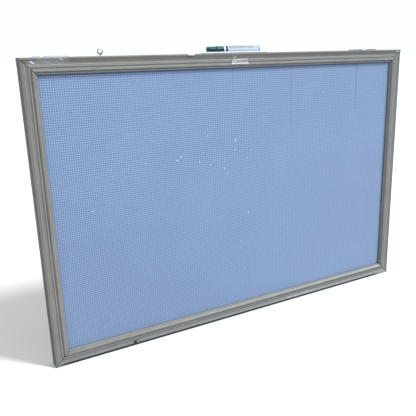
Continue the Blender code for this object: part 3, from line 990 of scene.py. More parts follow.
SOFTBOARD = PressedFibre((0.5, 0.4, 0.27), (0.3, 0.23, 0.14), 0.004, 0.0004)
HARDBOARD = PressedFibre((0.30, 0.17, 0.085), (0.15, 0.075, 0.035), 0.0016, 0.0002)
INK_FIBRE = PressedFibre((0.03, 0.22, 0.16), (0.01, 0.1, 0.08), 0.0006, 0.0001)
PALE_LINT = MouldedPlastic((0.36, 0.53, 0.61), (0.29, 0.44, 0.53), 0.7, 0.0)
COLLAR_WHITE = MouldedPlastic((0.6, 0.64, 0.7), (0.5, 0.55, 0.62))
PLUG_SLATE = MouldedPlastic((0.10, 0.13, 0.19), (0.15, 0.19, 0.26), 0.35, 0.2)


# Bench work: the modelling operators, each on one piece alone


def focus(piece: Piece) -> None:
    """Selects one piece and nothing else.

    Args:
        piece: the piece.
    """
    bpy.ops.object.select_all(action="DESELECT")
    piece.select_set(True)
    bpy.context.view_layer.objects.active = piece


@contextmanager
def editing(piece: Piece) -> Iterator[None]:
    """Opens a piece in edit mode with all of it selected, and closes it again.

    Args:
        piece: the piece.

    Yields:
        Nothing, while the piece is open.
    """
    focus(piece)
    bpy.ops.object.mode_set(mode="EDIT")
    bpy.ops.mesh.select_mode(type="VERT")
    bpy.ops.mesh.select_all(action="SELECT")
    yield
    bpy.ops.object.mode_set(mode="OBJECT")


def pick(piece: Piece, part: Part, test: Callable[[object], bool]) -> None:
    """Selects, in edit mode, the corners or edges that pass a test.

    Args:
        piece: the piece, open in edit mode.
        part: whether corners or edges are picked.
        test: says of one of them whether it is picked.
    """
    bpy.ops.mesh.select_mode(type="VERT" if part is Part.CORNERS else "EDGE")
    bpy.ops.mesh.select_all(action="DESELECT")
    mesh = bmesh.from_edit_mesh(piece.data)
    for item in getattr(mesh, part.value):
        item.select_set(test(item))
    mesh.select_flush_mode()
    bmesh.update_edit_mesh(piece.data)


def modify(piece: Piece, kind: str, **settings: object) -> None:
    """Adds a modifier, sets it and applies it.

    Args:
        piece: the piece.
        kind: the modifier's type.
        settings: the modifier's own settings.
    """
    modifier = piece.modifiers.new(kind.lower(), kind)
    for name, value in settings.items():
        setattr(modifier, name, value)
    focus(piece)
    bpy.ops.object.modifier_apply(modifier=modifier.name)


def outlined(name: str, corners: Sequence[Sequence[float]], filled: bool) -> Piece:
    """A circle primitive whose corners are moved onto an outline.

    Args:
        name: the new piece's name.
        corners: the outline's points in space, in order.
        filled: whether the outline gets a face.

    Returns:
        The piece.
    """
    bpy.ops.object.select_all(action="DESELECT")
    bpy.ops.mesh.primitive_circle_add(vertices=len(corners), fill_type="NGON" if filled else "NOTHING")
    piece = bpy.context.object
    piece.name = name
    for vertex, corner in zip(piece.data.vertices, corners):
        vertex.co = corner
    return piece


def extruded(name: str, corners: Sequence[Sequence[float]], way: Sequence[float]) -> Piece:
    """A solid: an outline run along a vector.

    Args:
        name: the new piece's name.
        corners: the outline's points in space, in order.
        way: the vector that the outline is run along.

    Returns:
        The piece.
    """
    piece = outlined(name, corners, True)
    with editing(piece):
        bpy.ops.mesh.extrude_region_move(TRANSFORM_OT_translate={"value": tuple(way)})
        bpy.ops.mesh.select_all(action="SELECT")
        bpy.ops.mesh.normals_make_consistent(inside=False)
    return piece


def turned(name: str, outline: Sequence[Corner], axis_height: float, start: float, steps: int = 72) -> Piece:
    """A piece turned about an axis along X.

    Args:
        name: the new piece's name.
        outline: place along the axis and radius of each point, round the whole section.
        axis_height: height of the axis, which lies over Y 0.
        start: where the places along the axis count from.
        steps: sides of the turned piece.

    Returns:
        The piece.
    """
    piece = outlined(name, [(start + along, 0, axis_height + radius) for along, radius in outline], False)
    with editing(piece):
        bpy.ops.mesh.spin(steps=steps, angle=math.tau, center=(0, 0, axis_height), axis=(1, 0, 0))
        bpy.ops.mesh.select_all(action="SELECT")
        bpy.ops.mesh.remove_doubles(threshold=TINY)
        bpy.ops.mesh.dissolve_degenerate(threshold=TINY)
        bpy.ops.mesh.select_all(action="SELECT")
        bpy.ops.mesh.normals_make_consistent(inside=False)
    return piece


def rounded_edges(piece: Piece, width: float, segments: int = 2, angle: float = 50) -> None:
    """Rounds every edge that is sharper than an angle.

    Args:
        piece: the piece.
        width: width of the rounding.
        segments: faces across the rounding.
        angle: the least angle between the faces of a rounded edge, in degrees.
    """
    modify(
        piece,
        "BEVEL",
        width=width,
        segments=segments,
        limit_method="ANGLE",
        angle_limit=math.radians(angle),
        use_clamp_overlap=True,
    )


def dress(piece: Piece, material: bpy.types.Material, smooth: float | None = 40) -> None:
    """Gives a piece its material, and smooth shading up to an angle.

    Args:
        piece: the piece.
        material: its material.
        smooth: the largest angle that is shaded smooth, in degrees, or None for flat faces.
    """
    piece.data.materials.clear()
    piece.data.materials.append(material)
    if smooth is not None:
        focus(piece)
        bpy.ops.object.shade_smooth_by_angle(angle=math.radians(smooth))


def hand_over(piece: Piece, body: str, slot: str, *nodes: str) -> None:
    """Lets a finished piece ride on its body, and hides the nodes that it stands for.

    Args:
        piece: the finished piece.
        body: the body that it rides on.
        slot: not used.
        nodes: the nodes that it stands for.
    """
    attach(piece, body)
    if nodes:
        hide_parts(*nodes)
    log.info("%s rides on %s, %d faces", piece.name, body, len(piece.data.polygons))


def repaint(node: str, material: bpy.types.Material) -> None:
    """Gives a CAD node, whose shape is right, a better material.

    Args:
        node: the node's name.
        material: its material.
    """
    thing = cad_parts[node]
    thing.data.materials.clear()
    thing.data.materials.append(material)
    log.info("%s keeps its solid", node)


def arc(centre: Corner, radius: float, start: float, end: float, steps: int) -> list[Corner]:
    """Points along an arc from angle start to angle end, in degrees, both ends included."""
    angles = [math.radians(start + (end - start) * step / steps) for step in range(steps + 1)]
    return [(centre[0] + radius * math.cos(a), centre[1] + radius * math.sin(a)) for a in angles]


def bowed(start: Corner, end: Corner, sag: float, steps: int) -> list[Corner]:
    """Points along the arc from start to end whose middle stands off its chord by sag, deeper for a plus.

    Args:
        start: the first point.
        end: the last point.
        sag: how far the middle stands off the chord.
        steps: how many stretches the arc has.

    Returns:
        The points, both ends included.
    """
    chord = Vector(end) - Vector(start)
    across = Vector((-chord.y, chord.x)).normalized()
    radius = (chord.length ** 2 / 4 + sag ** 2) / (2 * sag)
    centre = (Vector(start) + Vector(end)) / 2 - across * (radius - sag)
    sweep = 4 * math.atan(2 * sag / chord.length)
    first = Vector(start) - centre
    return [tuple(centre + Matrix.Rotation(-sweep * step / steps, 2) @ first) for step in range(steps + 1)]


def eased(start: Corner, end: Corner, steps: int) -> list[Corner]:
    """Points from start to end that leave and arrive level.

    Args:
        start: the first point.
        end: the last point.
        steps: how many stretches the line has.

    Returns:
        The points, both ends included.
    """
    shares = [step / steps for step in range(steps + 1)]
    return [
        (start[0] + (end[0] - start[0]) * s, start[1] + (end[1] - start[1]) * (1 - math.cos(math.pi * s)) / 2)
        for s in shares
    ]


# Sub-assemblies


@dataclass(frozen=True)
class Moulding:
    """The frame's section, from the outer edge inwards.

    The quirks' feet are where their floors meet the cove and the bead, as shares of a quirk's width. The
    bead's feet are how deep its two sides reach, and where they start, as shares of its radius.
    """

    outer_round: float = 0.002
    crest_depth: float = 0.0003
    cove_width: float = 0.0112
    cove_fall: float = 0.0017
    cove_sag: float = 0.0013
    quirk_width: float = 0.0014
    quirk_fall: float = 0.0013
    fillet_width: float = 0.0028
    fillet_rise: float = 0.0009
    bead_radius: float = 0.0039
    lip_width: float = 0.0029
    lip_fall: float = 0.0005
    lip_bevel: Corner = (0.0012, 0.0018)
    lip_sag: float = 0.0003
    lip_thickness: float = 0.0053
    rebate_width: float = 0.0085
    back_round: float = 0.0007
    quirk_feet: Span = (0.15, 0.4)
    bead_feet: Span = (0.92, 1.06)
    bead_arc: Span = (172, 352)
    edge_steps: int = 8
    cove_steps: int = 18
    fillet_steps: int = 10
    bead_steps: int = 30
    lip_steps: int = 6
    back_steps: int = 3

    @property
    def cove_end(self) -> float:
        """Reach of the cove's inner end."""
        return self.outer_round + self.cove_width

    @property
    def bead_crown(self) -> float:
        """Reach of the bead's crown."""
        return self.cove_end + self.quirk_width * 2 + self.fillet_width + self.bead_radius

    @property
    def width(self) -> float:
        """Reach of the sight edge."""
        return self.bead_crown + self.bead_radius + self.lip_width

    @property
    def rebate_wall(self) -> float:
        """Reach of the wall that the panel lies against."""
        return self.width - self.rebate_width

    def edge_and_cove(self) -> list[Corner]:
        """The rounded outer edge and the cove, from the side inwards.

        Returns:
            Reach and depth of each point.
        """
        centre = (self.outer_round, self.crest_depth + self.outer_round)
        crest = (self.outer_round, self.crest_depth)
        fall = (self.cove_end, self.crest_depth + self.cove_fall)
        edge = arc(centre, self.outer_round, 180, 270, self.edge_steps)
        return edge[:-1] + bowed(crest, fall, self.cove_sag, self.cove_steps)

    def outline(self, depth: float) -> list[Corner]:
        """The whole section of a frame that is depth deep.

        Args:
            depth: depth of the frame, front to back.

        Returns:
            Reach and depth of each point.
        """
        quirk = self.crest_depth + self.cove_fall + self.quirk_fall
        fillet = self.cove_end + self.quirk_width
        fillet_end = fillet + self.fillet_width
        lip = self.bead_radius + self.lip_fall
        back = lip + self.lip_thickness
        bevel = self.lip_bevel
        near = self.back_round
        outer_foot, inner_foot = self.quirk_feet
        bead_rise, bead_fall = self.bead_feet
        outline = arc((near, depth - near), near, 90, 180, self.back_steps)
        outline += self.edge_and_cove()
        outline.append((self.cove_end + self.quirk_width * outer_foot, quirk))
        outline += bowed((fillet, quirk), (fillet_end, quirk), -self.fillet_rise, self.fillet_steps)
        outline.append((fillet_end + self.quirk_width * inner_foot, self.bead_radius * bead_rise))
        outline += arc((self.bead_crown, self.bead_radius), self.bead_radius, *self.bead_arc, self.bead_steps)
        outline.append((self.bead_crown + self.bead_radius * bead_fall, lip))
        bevelled = (self.width - bevel[0], lip), (self.width, lip + bevel[1])
        outline += bowed(*bevelled, -self.lip_sag, self.lip_steps)
        outline += [(self.width, back), (self.rebate_wall, back)]
        outline += arc((self.rebate_wall - near, depth - near), near, 0, 90, self.back_steps)
        return outline


@dataclass(frozen=True)
class Board:
    """The board's outer sizes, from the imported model."""

    half_width: float
    height: float
    front: float
    back: float

    @classmethod
    def from_frame(cls) -> "Board":
        """Reads the sizes of the stiles and the top rail.

        Returns:
            The board.
        """
        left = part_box("left_stile")
        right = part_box("right_stile")
        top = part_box("top_rail")
        return cls((right[1].x - left[0].x) / 2, top[1].z, top[0].y, top[1].y)

    @property
    def depth(self) -> float:
        """Depth of the frame, front to back."""
        return self.back - self.front


@dataclass
class MouldedFrame:
    """Four mitred rails with their fasteners."""

    board: Board
    moulding: Moulding
    slices: int = 70
    wander: float = 0.00012
    wander_length: float = 0.03
    wander_shift: float = 7.3
    mitre_inner_gap: float = 0.0002
    mitre_outer_gap: float = 0.0009
    slot_clearance: float = 0.0003
    nick: Corner = (-0.2885, 0.0065)
    nick_radius: float = 0.0019
    nick_rise: float = 0.0007
    nick_shape: tuple[float, float, float] = (1.5, 0.75, 0.45)

    def build(self) -> None:
        """Builds the rails and dresses the V-nails and framing points."""
        steel = BrightMetal().make("fastener_steel")
        fasteners = [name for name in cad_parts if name.startswith(("v_nail", "framing_point"))]
        for name in sorted(fasteners):
            repaint(name, steel)
        for side in Side:
            rail = self.rail(side)
            self.cut_slots(rail, side, sorted(fasteners))
            if side is Side.BOTTOM:
                self.cut_nick(rail)
            finish = GreigeWood(side, self.board.half_width, self.board.height, self.board.back)
            dress(rail, finish.make(f"{side.value}_lacquer"), smooth=32)
            hand_over(rail, "board", "greige_wood", side.value)

    def rail(self, side: Side) -> Piece:
        """One mitred length of moulding.

        Args:
            side: which rail.

        Returns:
            The rail, in its place.
        """
        length = self.board.half_width * 2 if side in (Side.TOP, Side.BOTTOM) else self.board.height
        corners = [(-length / 2, self.board.front + d, r) for r, d in self.moulding.outline(self.board.depth)]
        rail = extruded(f"{side.value}_moulding", corners, (length, 0, 0))
        width = self.moulding.width
        for end in (-1, 1):
            outer = length / 2 - self.mitre_outer_gap
            slant = width + self.mitre_inner_gap - self.mitre_outer_gap
            with editing(rail):
                bpy.ops.mesh.bisect(
                    plane_co=(end * outer, 0, 0),
                    plane_no=(end * width, 0, slant),
                    use_fill=True,
                    clear_outer=True,
                )
        with editing(rail):
            pick(rail, Part.EDGES, lambda edge: abs((edge.verts[0].co - edge.verts[1].co).x) > length / 2)
            bpy.ops.mesh.subdivide(number_cuts=self.slices)
            bpy.ops.mesh.select_all(action="SELECT")
            bpy.ops.mesh.normals_make_consistent(inside=False)
        self.let_wander(rail, side)
        turn, place = {
            Side.TOP: (180, (0, 0, self.board.height)),
            Side.BOTTOM: (0, (0, 0, 0)),
            Side.LEFT: (90, (-self.board.half_width, 0, self.board.height / 2)),
            Side.RIGHT: (-90, (self.board.half_width, 0, self.board.height / 2)),
        }[side]
        rail.data.transform(Matrix.Translation(place) @ Matrix.Rotation(math.radians(turn), 4, "Y"))
        return rail

    def let_wander(self, rail: Piece, side: Side) -> None:
        """Lets the hand-sanded front wander a little along the rail, and leaves the ends and the back alone.

        Args:
            rail: the rail, still lying along X.
            side: which rail it is.
        """
        shift = Vector((0, self.wander_shift * (1 + list(Side).index(side)), 0))
        ends = max(vertex.co.x for vertex in rail.data.vertices) - self.moulding.width
        limit = self.board.front + self.moulding.bead_radius * 2
        edge = self.moulding.outer_round / 2
        for vertex in rail.data.vertices:
            spot = vertex.co
            if abs(spot.x) < ends and spot.y < limit and spot.z > edge:
                lump = noise.noise(spot / self.wander_length + shift)
                spot.y += max(lump, 0) * self.wander

    def cut_slots(self, rail: Piece, side: Side, fasteners: Sequence[str]) -> None:
        """Cuts the slots of the fasteners that this rail holds, each a little larger than its fastener.

        Args:
            rail: the rail.
            side: which rail it is.
            fasteners: the names of all the fasteners.
        """
        low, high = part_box(side.value)
        cutters = []
        for name in fasteners:
            near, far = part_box(name)
            if all(near[axis] < high[axis] and far[axis] > low[axis] for axis in range(3)):
                cutters.append(self.slot_cutter(name, name.startswith("v_nail")))
        focus(cutters[0])
        for cutter in cutters:
            cutter.select_set(True)
        bpy.ops.object.join()
        modify(rail, "BOOLEAN", operation="DIFFERENCE", solver="EXACT", object=cutters[0])
        bpy.data.objects.remove(cutters[0])

    def slot_cutter(self, name: str, open_behind: bool) -> Piece:
        """A merged copy of a fastener, made thicker, and longer where its slot is open at the back.

        Args:
            name: the fastener's name.
            open_behind: whether its slot is open at the back.

        Returns:
            The cutter.
        """
        bpy.ops.object.select_all(action="DESELECT")
        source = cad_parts[name]
        cutter = bpy.data.objects.new(f"{name}_slot", source.data.copy())
        bpy.context.scene.collection.objects.link(cutter)
        rear = max(vertex.co.y for vertex in cutter.data.vertices)
        with editing(cutter):
            bpy.ops.mesh.remove_doubles(threshold=TINY)
            bpy.ops.mesh.dissolve_limited(angle_limit=FLAT_ANGLE)
            bpy.ops.mesh.select_all(action="SELECT")
            bpy.ops.transform.shrink_fatten(value=self.slot_clearance, use_even_offset=True)
            if open_behind:
                pick(cutter, Part.CORNERS, lambda corner: corner.co.y > rear)
                bpy.ops.transform.translate(value=(0, self.moulding.outer_round, 0))
        return cutter

    def cut_nick(self, rail: Piece) -> None:
        """The small dent in the bottom rail's cove, near the left corner.

        Args:
            rail: the bottom rail.
        """
        bpy.ops.object.select_all(action="DESELECT")
        x, z = self.nick
        place = (x, self.board.front + self.nick_rise, z)
        bpy.ops.mesh.primitive_ico_sphere_add(subdivisions=3, radius=self.nick_radius, location=place)
        cutter = bpy.context.object
        bpy.ops.transform.resize(value=self.nick_shape)
        bpy.ops.object.transform_apply(location=True, rotation=True, scale=True)
        modify(rail, "BOOLEAN", operation="DIFFERENCE", solver="EXACT", object=cutter)
        bpy.data.objects.remove(cutter)


@dataclass
class FeltPanel:
    """The felt stretched over its core, the lint on it and the boards behind it.

    A speck of lint is its distance from the board's left and top edges, its length, and its turn in degrees.
    """

    board: Board
    thickness: float = 0.0008
    turn_in: float = 0.02
    cell: float = 0.006
    ripple: float = 0.00022
    ripple_length: float = 0.12
    crease_depth: float = 0.00022
    crease_reach: float = 0.0015
    specks: tuple[tuple[float, float, float, float], ...] = (
        (0.2225, 0.2145, 0.0056, 0),
        (0.2920, 0.2160, 0.0072, -10),
        (0.3000, 0.2095, 0.0088, 0),
        (0.3435, 0.2260, 0.0052, -50),
        (0.3525, 0.2060, 0.0045, 45),
        (0.3650, 0.1700, 0.0050, 85),
        (0.3690, 0.2350, 0.0058, -25),
        (0.4040, 0.2460, 0.0062, -30),
        (0.4110, 0.2610, 0.0045, 60),
        (0.4330, 0.1865, 0.0090, 70),
        (0.4325, 0.2080, 0.0070, -10),
        (0.4620, 0.2300, 0.0048, -40),
        (0.4730, 0.2135, 0.0054, -25),
        (0.4645, 0.3595, 0.0065, 60),
        (0.6770, 0.0945, 0.0055, 35),
        (0.1050, 0.2970, 0.0055, 0),
        (0.4535, 0.4975, 0.0040, 15),
        (0.4445, 0.4265, 0.0040, 75),
    )
    speck_corners: int = 9
    speck_slimness: float = 3.5
    speck_spread: Span = (0.6, 1.1)
    speck_lift: float = 0.00005
    speck_thickness: float = 0.00018
    speck_seed: int = 11

    def build(self) -> None:
        """Builds the cloth and the lint, and dresses the boards."""
        finish = PowderFelt(self.board.height)
        cloth = self.cloth(finish)
        dress(cloth, finish.make("powder_felt"), smooth=50)
        hand_over(cloth, "board", "blue_felt", "felt_facing")
        low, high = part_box("felt_facing")
        flat = [high[axis] - low[axis] + 2 * (high.y - low.y) + 2 * self.turn_in for axis in (0, 2)]
        corner = (high.y - low.y) + self.turn_in
        flat[0] * flat[1] - 4 * corner ** 2
        lint = self.lint()
        dress(lint, PALE_LINT.make("pale_lint"))
        hand_over(lint, "board", "blue_felt")
        repaint("softboard_core", SOFTBOARD.make("softboard"))
        repaint("back_board", HARDBOARD.make("hardboard"))

    def cloth(self, finish: PowderFelt) -> Piece:
        """The felt: one skin over the front, the four edges and the border behind.

        Args:
            finish: the felt's finish, which says where its creases are.

        Returns:
            The cloth.
        """
        low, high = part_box("felt_facing")
        width, height = high.x - low.x, high.z - low.z
        columns, rows = round(width / self.cell), round(height / self.cell)
        bpy.ops.object.select_all(action="DESELECT")
        bpy.ops.mesh.primitive_grid_add(x_subdivisions=columns, y_subdivisions=rows, size=1)
        cloth = bpy.context.object
        cloth.name = "felt_cloth"
        for vertex in cloth.data.vertices:
            vertex.co = (vertex.co.x * width, low.y, (vertex.co.y + 0.5) * height + low.z)
        for crease in finish.creases:
            for shift in (-self.crease_reach, 0, self.crease_reach):
                with editing(cloth):
                    bpy.ops.mesh.bisect(plane_co=(crease.place + shift, 0, 0), plane_no=(1, 0, 0))
        middle = (low + high) / 2
        with editing(cloth):
            pick(cloth, Part.EDGES, lambda edge: edge.is_boundary)
            bpy.ops.mesh.extrude_region_move(TRANSFORM_OT_translate={"value": (0, high.y - low.y, 0)})
            bpy.ops.mesh.extrude_region_move(TRANSFORM_OT_translate={"value": (0, 0, 0)})
            inward = (1 - 2 * self.turn_in / width, 1, 1 - 2 * self.turn_in / height)
            bpy.ops.transform.resize(value=inward, center_override=middle)
            bpy.ops.mesh.select_all(action="SELECT")
            bpy.ops.mesh.normals_make_consistent(inside=False)
        self.settle(cloth, finish, low, high)
        modify(cloth, "SOLIDIFY", thickness=self.thickness, offset=-1)
        return cloth

    def settle(self, cloth: Piece, finish: PowderFelt, low: Vector, high: Vector) -> None:
        """Lets the front ripple a little, and sinks its creases.

        Args:
            cloth: the cloth, still one skin.
            finish: the felt's finish, which says where its creases are.
            low: the lowest corner of the panel.
            high: the highest corner of the panel.
        """
        facing = cloth.data.polygons[0].normal.y
        if facing > 0:
            cloth.data.flip_normals()
        edge = self.cell / 2
        for vertex in cloth.data.vertices:
            spot = vertex.co
            inside = low.x + edge < spot.x < high.x - edge and low.z + edge < spot.z < high.z - edge
            if abs(spot.y - low.y) < TINY and inside:
                sink = (noise.noise(spot / self.ripple_length) + 1) / 2 * self.ripple
                down = self.board.height - spot.z
                for crease in finish.creases:
                    below_start = crease.start - self.turn_in < down < crease.end
                    if abs(spot.x - crease.place) < TINY and below_start:
                        sink += self.crease_depth
                spot.y += sink

    def lint(self) -> Piece:
        """Flat bits of lint and lifted fibre on the felt's face.

        Returns:
            All the flakes as one piece.
        """
        low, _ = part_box("felt_facing")
        rng = random.Random(self.speck_seed)
        flakes = []
        for left, down, size, angle in self.specks:
            x, z = left - self.board.half_width, self.board.height - down
            tilt = math.radians(angle)
            corners = []
            for step in range(self.speck_corners):
                turn = math.tau * step / self.speck_corners
                long = math.cos(turn) * size / 2
                short = math.sin(turn) * size / 2 / self.speck_slimness
                spread = rng.uniform(*self.speck_spread)
                across = (long * math.cos(tilt) - short * math.sin(tilt)) * spread
                up = (long * math.sin(tilt) + short * math.cos(tilt)) * spread
                corners.append((x + across, low.y - self.speck_lift, z + up))
            flakes.append(extruded("lint", corners, (0, -self.speck_thickness, 0)))
        focus(flakes[0])
        for flake in flakes:
            flake.select_set(True)
        bpy.ops.object.join()
        flakes[0].name = "felt_lint"
        return flakes[0]


@dataclass
class HangingEye:
    """The small eye on the top rail, bent from one wire.

    Painted shade darkens it below the ring's centre, where it turns from the light. How far below, and half
    its height, are shares of the ring's radius.
    """

    board: Board
    ring_start: float = -50
    ring_end: float = 279
    neck_rise: float = 0.001
    neck_pull: float = 0.0035
    ring_steps: int = 48
    neck_steps: int = 10
    wire_rings: int = 6
    end_round_share: float = 1 / 6
    metal: Colour = (0.36, 0.42, 0.52)
    # Colour of the painted shade on the ring's lower part.
    tarnish_and_shade: Colour = (0.012, 0.018, 0.034)
    shade_drop_share: float = 0.75
    shade_half_share: float = 0.6
    roughness: float = 0.5

    def build(self) -> None:
        """Builds the eye."""
        low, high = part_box("hanging_eye")
        wire = high.y - low.y
        ring = (high.x - low.x - wire) / 2
        x, centre = (low.x + high.x) / 2, high.z - wire / 2 - ring
        bpy.ops.object.select_all(action="DESELECT")
        path = self.path(ring, centre)
        bpy.ops.curve.primitive_nurbs_path_add()
        eye = bpy.context.object
        eye.name = "hanging_eye_wire"
        curve = eye.data
        curve.splines.clear()
        spline = curve.splines.new("POLY")
        spline.points.add(len(path) - 1)
        for point, (across, up) in zip(spline.points, path):
            point.co = (x + across, 0, up, 1)
        curve.bevel_depth = wire / 2
        curve.bevel_resolution = self.wire_rings
        curve.use_fill_caps = True
        bpy.ops.object.convert(target="MESH")
        rounded_edges(eye, wire * self.end_round_share)
        # Painted shade over the ring's lower part.
        shaded_height = (centre - ring * self.shade_drop_share, ring * self.shade_half_share)
        finish = BrightMetal(self.metal, self.tarnish_and_shade, shaded_height, roughness=self.roughness)
        dress(eye, finish.make("bright_eye"), smooth=50)
        hand_over(eye, "board", "zinc_steel", "hanging_eye")

    def path(self, ring: float, centre: float) -> list[Corner]:
        """The wire's line: shank, neck and ring, in X from its middle and Z.

        Args:
            ring: radius of the ring, to the middle of its wire.
            centre: height of the ring's centre.

        Returns:
            The points, from the shank's foot on.
        """
        loop = arc((0, centre), ring, self.ring_start, self.ring_end, self.ring_steps)
        low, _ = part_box("hanging_eye")
        start = Vector((0, self.board.height + self.neck_rise))
        end = Vector(loop[0])
        angle = math.radians(self.ring_start)
        leave = Vector((0, self.neck_pull))
        arrive = Vector((-math.sin(angle), math.cos(angle))) * self.neck_pull
        neck = []
        for step in range(self.neck_steps):
            t = step / self.neck_steps
            point = start * (2 * t ** 3 - 3 * t ** 2 + 1) + leave * (t ** 3 - 2 * t ** 2 + t)
            point += end * (3 * t ** 2 - 2 * t ** 3) + arrive * (t ** 3 - t ** 2)
            neck.append(tuple(point))
        return [(0, low.z)] + neck + loop


@dataclass
class Marker:
    """The marker: cap, collar, nib, barrel and end plug, turned about one axis along X."""

    cap_end_round: float = 0.0011
    cap_slim: float = 0.016
    cap_flare: float = 0.0065
    cap_slim_radius: float = 0.0061
    cap_end_radius: float = 0.0058
    cap_wall: float = 0.0016
    cap_hollow: float = 0.0048
    cap_mouth: float = 0.0057
    cap_mouth_depth: float = 0.008
    cap_rim_round: float = 0.0003
    bore: float = 0.0026
    cone_tip: float = 0.0034
    cone_base: float = 0.0044
    cone: float = 0.009
    seat: float = 0.0054
    nib: float = 0.0023
    nib_sides: int = 40
    barrel_wall: float = 0.0012
    edge: float = 0.0004
    plug_round: float = 0.001
    flare_steps: int = 14
    dome_steps: int = 8
    round_steps: int = 5
    edge_steps: int = 3

    def build(self) -> None:
        """Builds the five pieces that show and dresses the reservoir."""
        self.build_cap()
        self.build_holder()
        self.build_barrel()
        ink = INK_FIBRE.make("ink_fibre")
        repaint("marker_reservoir", ink)
        self.build_nib(ink)
        self.build_plug()

    def span(self, node: str) -> tuple[float, float, float, float]:
        """Start, length, radius and axis height of a turned node."""
        low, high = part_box(node)
        return low.x, high.x - low.x, (high.z - low.z) / 2, (high.z + low.z) / 2

    def build_cap(self) -> None:
        """The cap, slim at its closed end and flared towards its rim."""
        start, length, radius, axis = self.span("marker_cap")
        end, wall = self.cap_end_round, self.cap_wall
        flare_end = self.cap_slim + self.cap_flare
        rim = self.cap_rim_round
        outline = [(0, 0)]
        outline += arc((end, self.cap_end_radius - end), end, 180, 90, self.round_steps)
        outline += eased((self.cap_slim, self.cap_slim_radius), (flare_end, radius), self.flare_steps)
        outline += arc((length - rim, radius - rim), rim, 90, 0, self.edge_steps)
        outline += [
            (length, self.cap_mouth),
            (length - self.cap_mouth_depth, self.cap_mouth),
            (length - self.cap_mouth_depth, self.cap_hollow),
            (wall, self.cap_hollow),
            (wall, 0),
        ]
        cap = turned("marker_cap_shell", outline, axis, start)
        dress(cap, CapPlastic(axis, radius).make("cap_green"))
        hand_over(cap, "cap", "green_plastic", "marker_cap")

    def build_holder(self) -> None:
        """The nib holder, whose collar shows between cap and barrel."""
        start, length, radius, axis = self.span("marker_nib_holder")
        cap_start, cap_length, _, _ = self.span("marker_cap")
        barrel_start, _, barrel, _ = self.span("marker_barrel")
        collar = cap_start + cap_length + FIT_GAP - start
        collar_end = barrel_start - FIT_GAP - start
        spigot = barrel - self.barrel_wall - FIT_GAP
        outline = [
            (0, self.bore),
            (0, self.cone_tip - self.edge),
            (self.edge, self.cone_tip),
            (self.cone, self.cone_base),
            (self.cone, self.seat - self.edge),
            (self.cone + self.edge, self.seat),
            (collar, self.seat),
            (collar, radius - self.edge),
            (collar + self.edge, radius),
            (collar_end - self.edge, radius),
            (collar_end, radius - self.edge),
            (collar_end, spigot),
            (length, spigot),
            (length, self.bore),
        ]
        holder = turned("marker_collar", outline, axis, start)
        dress(holder, COLLAR_WHITE.make("collar_white"))
        hand_over(holder, "marker", "white_plastic", "marker_nib_holder")

    def build_nib(self, ink: bpy.types.Material) -> None:
        """The nib, domed and a little worn at its tip.

        Args:
            ink: the nib's material.
        """
        start, length, _, axis = self.span("marker_nib")
        outline = arc((self.nib, 0), self.nib, 180, 90, self.dome_steps)
        outline += [(length, self.nib), (length, 0)]
        outline[0] = (0, 0)
        nib = turned("marker_nib_rod", outline, axis, start, self.nib_sides)
        dress(nib, ink)
        hand_over(nib, "marker", "ink_fibre", "marker_nib")

    def build_barrel(self) -> None:
        """The barrel, a plain tube."""
        start, length, radius, axis = self.span("marker_barrel")
        edge, bore = self.edge, radius - self.barrel_wall
        outline = [(0, bore)]
        outline += arc((edge, radius - edge), edge, 180, 90, self.edge_steps)
        outline += arc((length - edge, radius - edge), edge, 90, 0, self.edge_steps)
        outline.append((length, bore))
        barrel = turned("marker_body", outline, axis, start)
        dress(barrel, BarrelPlastic(start, axis, radius).make("barrel_white"))
        hand_over(barrel, "marker", "barrel_plastic", "marker_barrel")

    def build_plug(self) -> None:
        """The plug that closes the barrel's end."""
        start, length, radius, axis = self.span("marker_end_plug")
        barrel_start, barrel_length, barrel, _ = self.span("marker_barrel")
        flange = barrel_start + barrel_length + FIT_GAP - start
        spigot = barrel - self.barrel_wall - FIT_GAP
        corner = self.plug_round
        outline = [(0, 0), (0, spigot), (flange, spigot)]
        outline += [(flange, radius - self.edge), (flange + self.edge, radius)]
        outline += arc((length - corner, radius - corner), corner, 90, 0, self.round_steps)
        outline.append((length, 0))
        plug = turned("marker_plug", outline, axis, start)
        dress(plug, PLUG_SLATE.make("plug_slate"))
        hand_over(plug, "marker", "dark_plastic", "marker_end_plug")


@dataclass(frozen=True)
class Fold:
    """A fold in a film, on a line between two points.

    A point is given by its distance from the board's left edge and its run: the distance inwards from the
    outer edge on the front, and less than 0 on the top face.
    """

    start: Corner
    end: Corner
    width: float
    height: float
    # How much the fold shows, and on the strongest folds how strong its painted glint is.
    gloss: float

    def share(self, spot: Corner) -> float:
        """1 on the line, falling to 0 at the fold's width.

        Args:
            spot: a point, given as the fold's ends are.

        Returns:
            The share.
        """
        start, way, point = Vector(self.start), Vector(self.end) - Vector(self.start), Vector(spot)
        along = min(max((point - start).dot(way) / way.length_squared, 0), 1)
        return max(0.0, 1 - (point - start - way * along).length / self.width)


@dataclass(frozen=True)
class Film:
    """One strip of film.

    Its path is the reach and depth of its points on the wood. Its rise is how high its back edge stands, as a
    share of the path's own height, at each distance from the board's left edge.
    """

    name: str
    span: Corner
    path: Sequence[Corner]
    finish: ClearFilm
    node: str | None = None
    folds: Sequence[Fold] = ()
    crinkle: float = 0.0003
    ragged: float = 0.0012
    seed: float = 0.0
    rise: Sequence[Corner] = ()
    cell: float = 0.0009


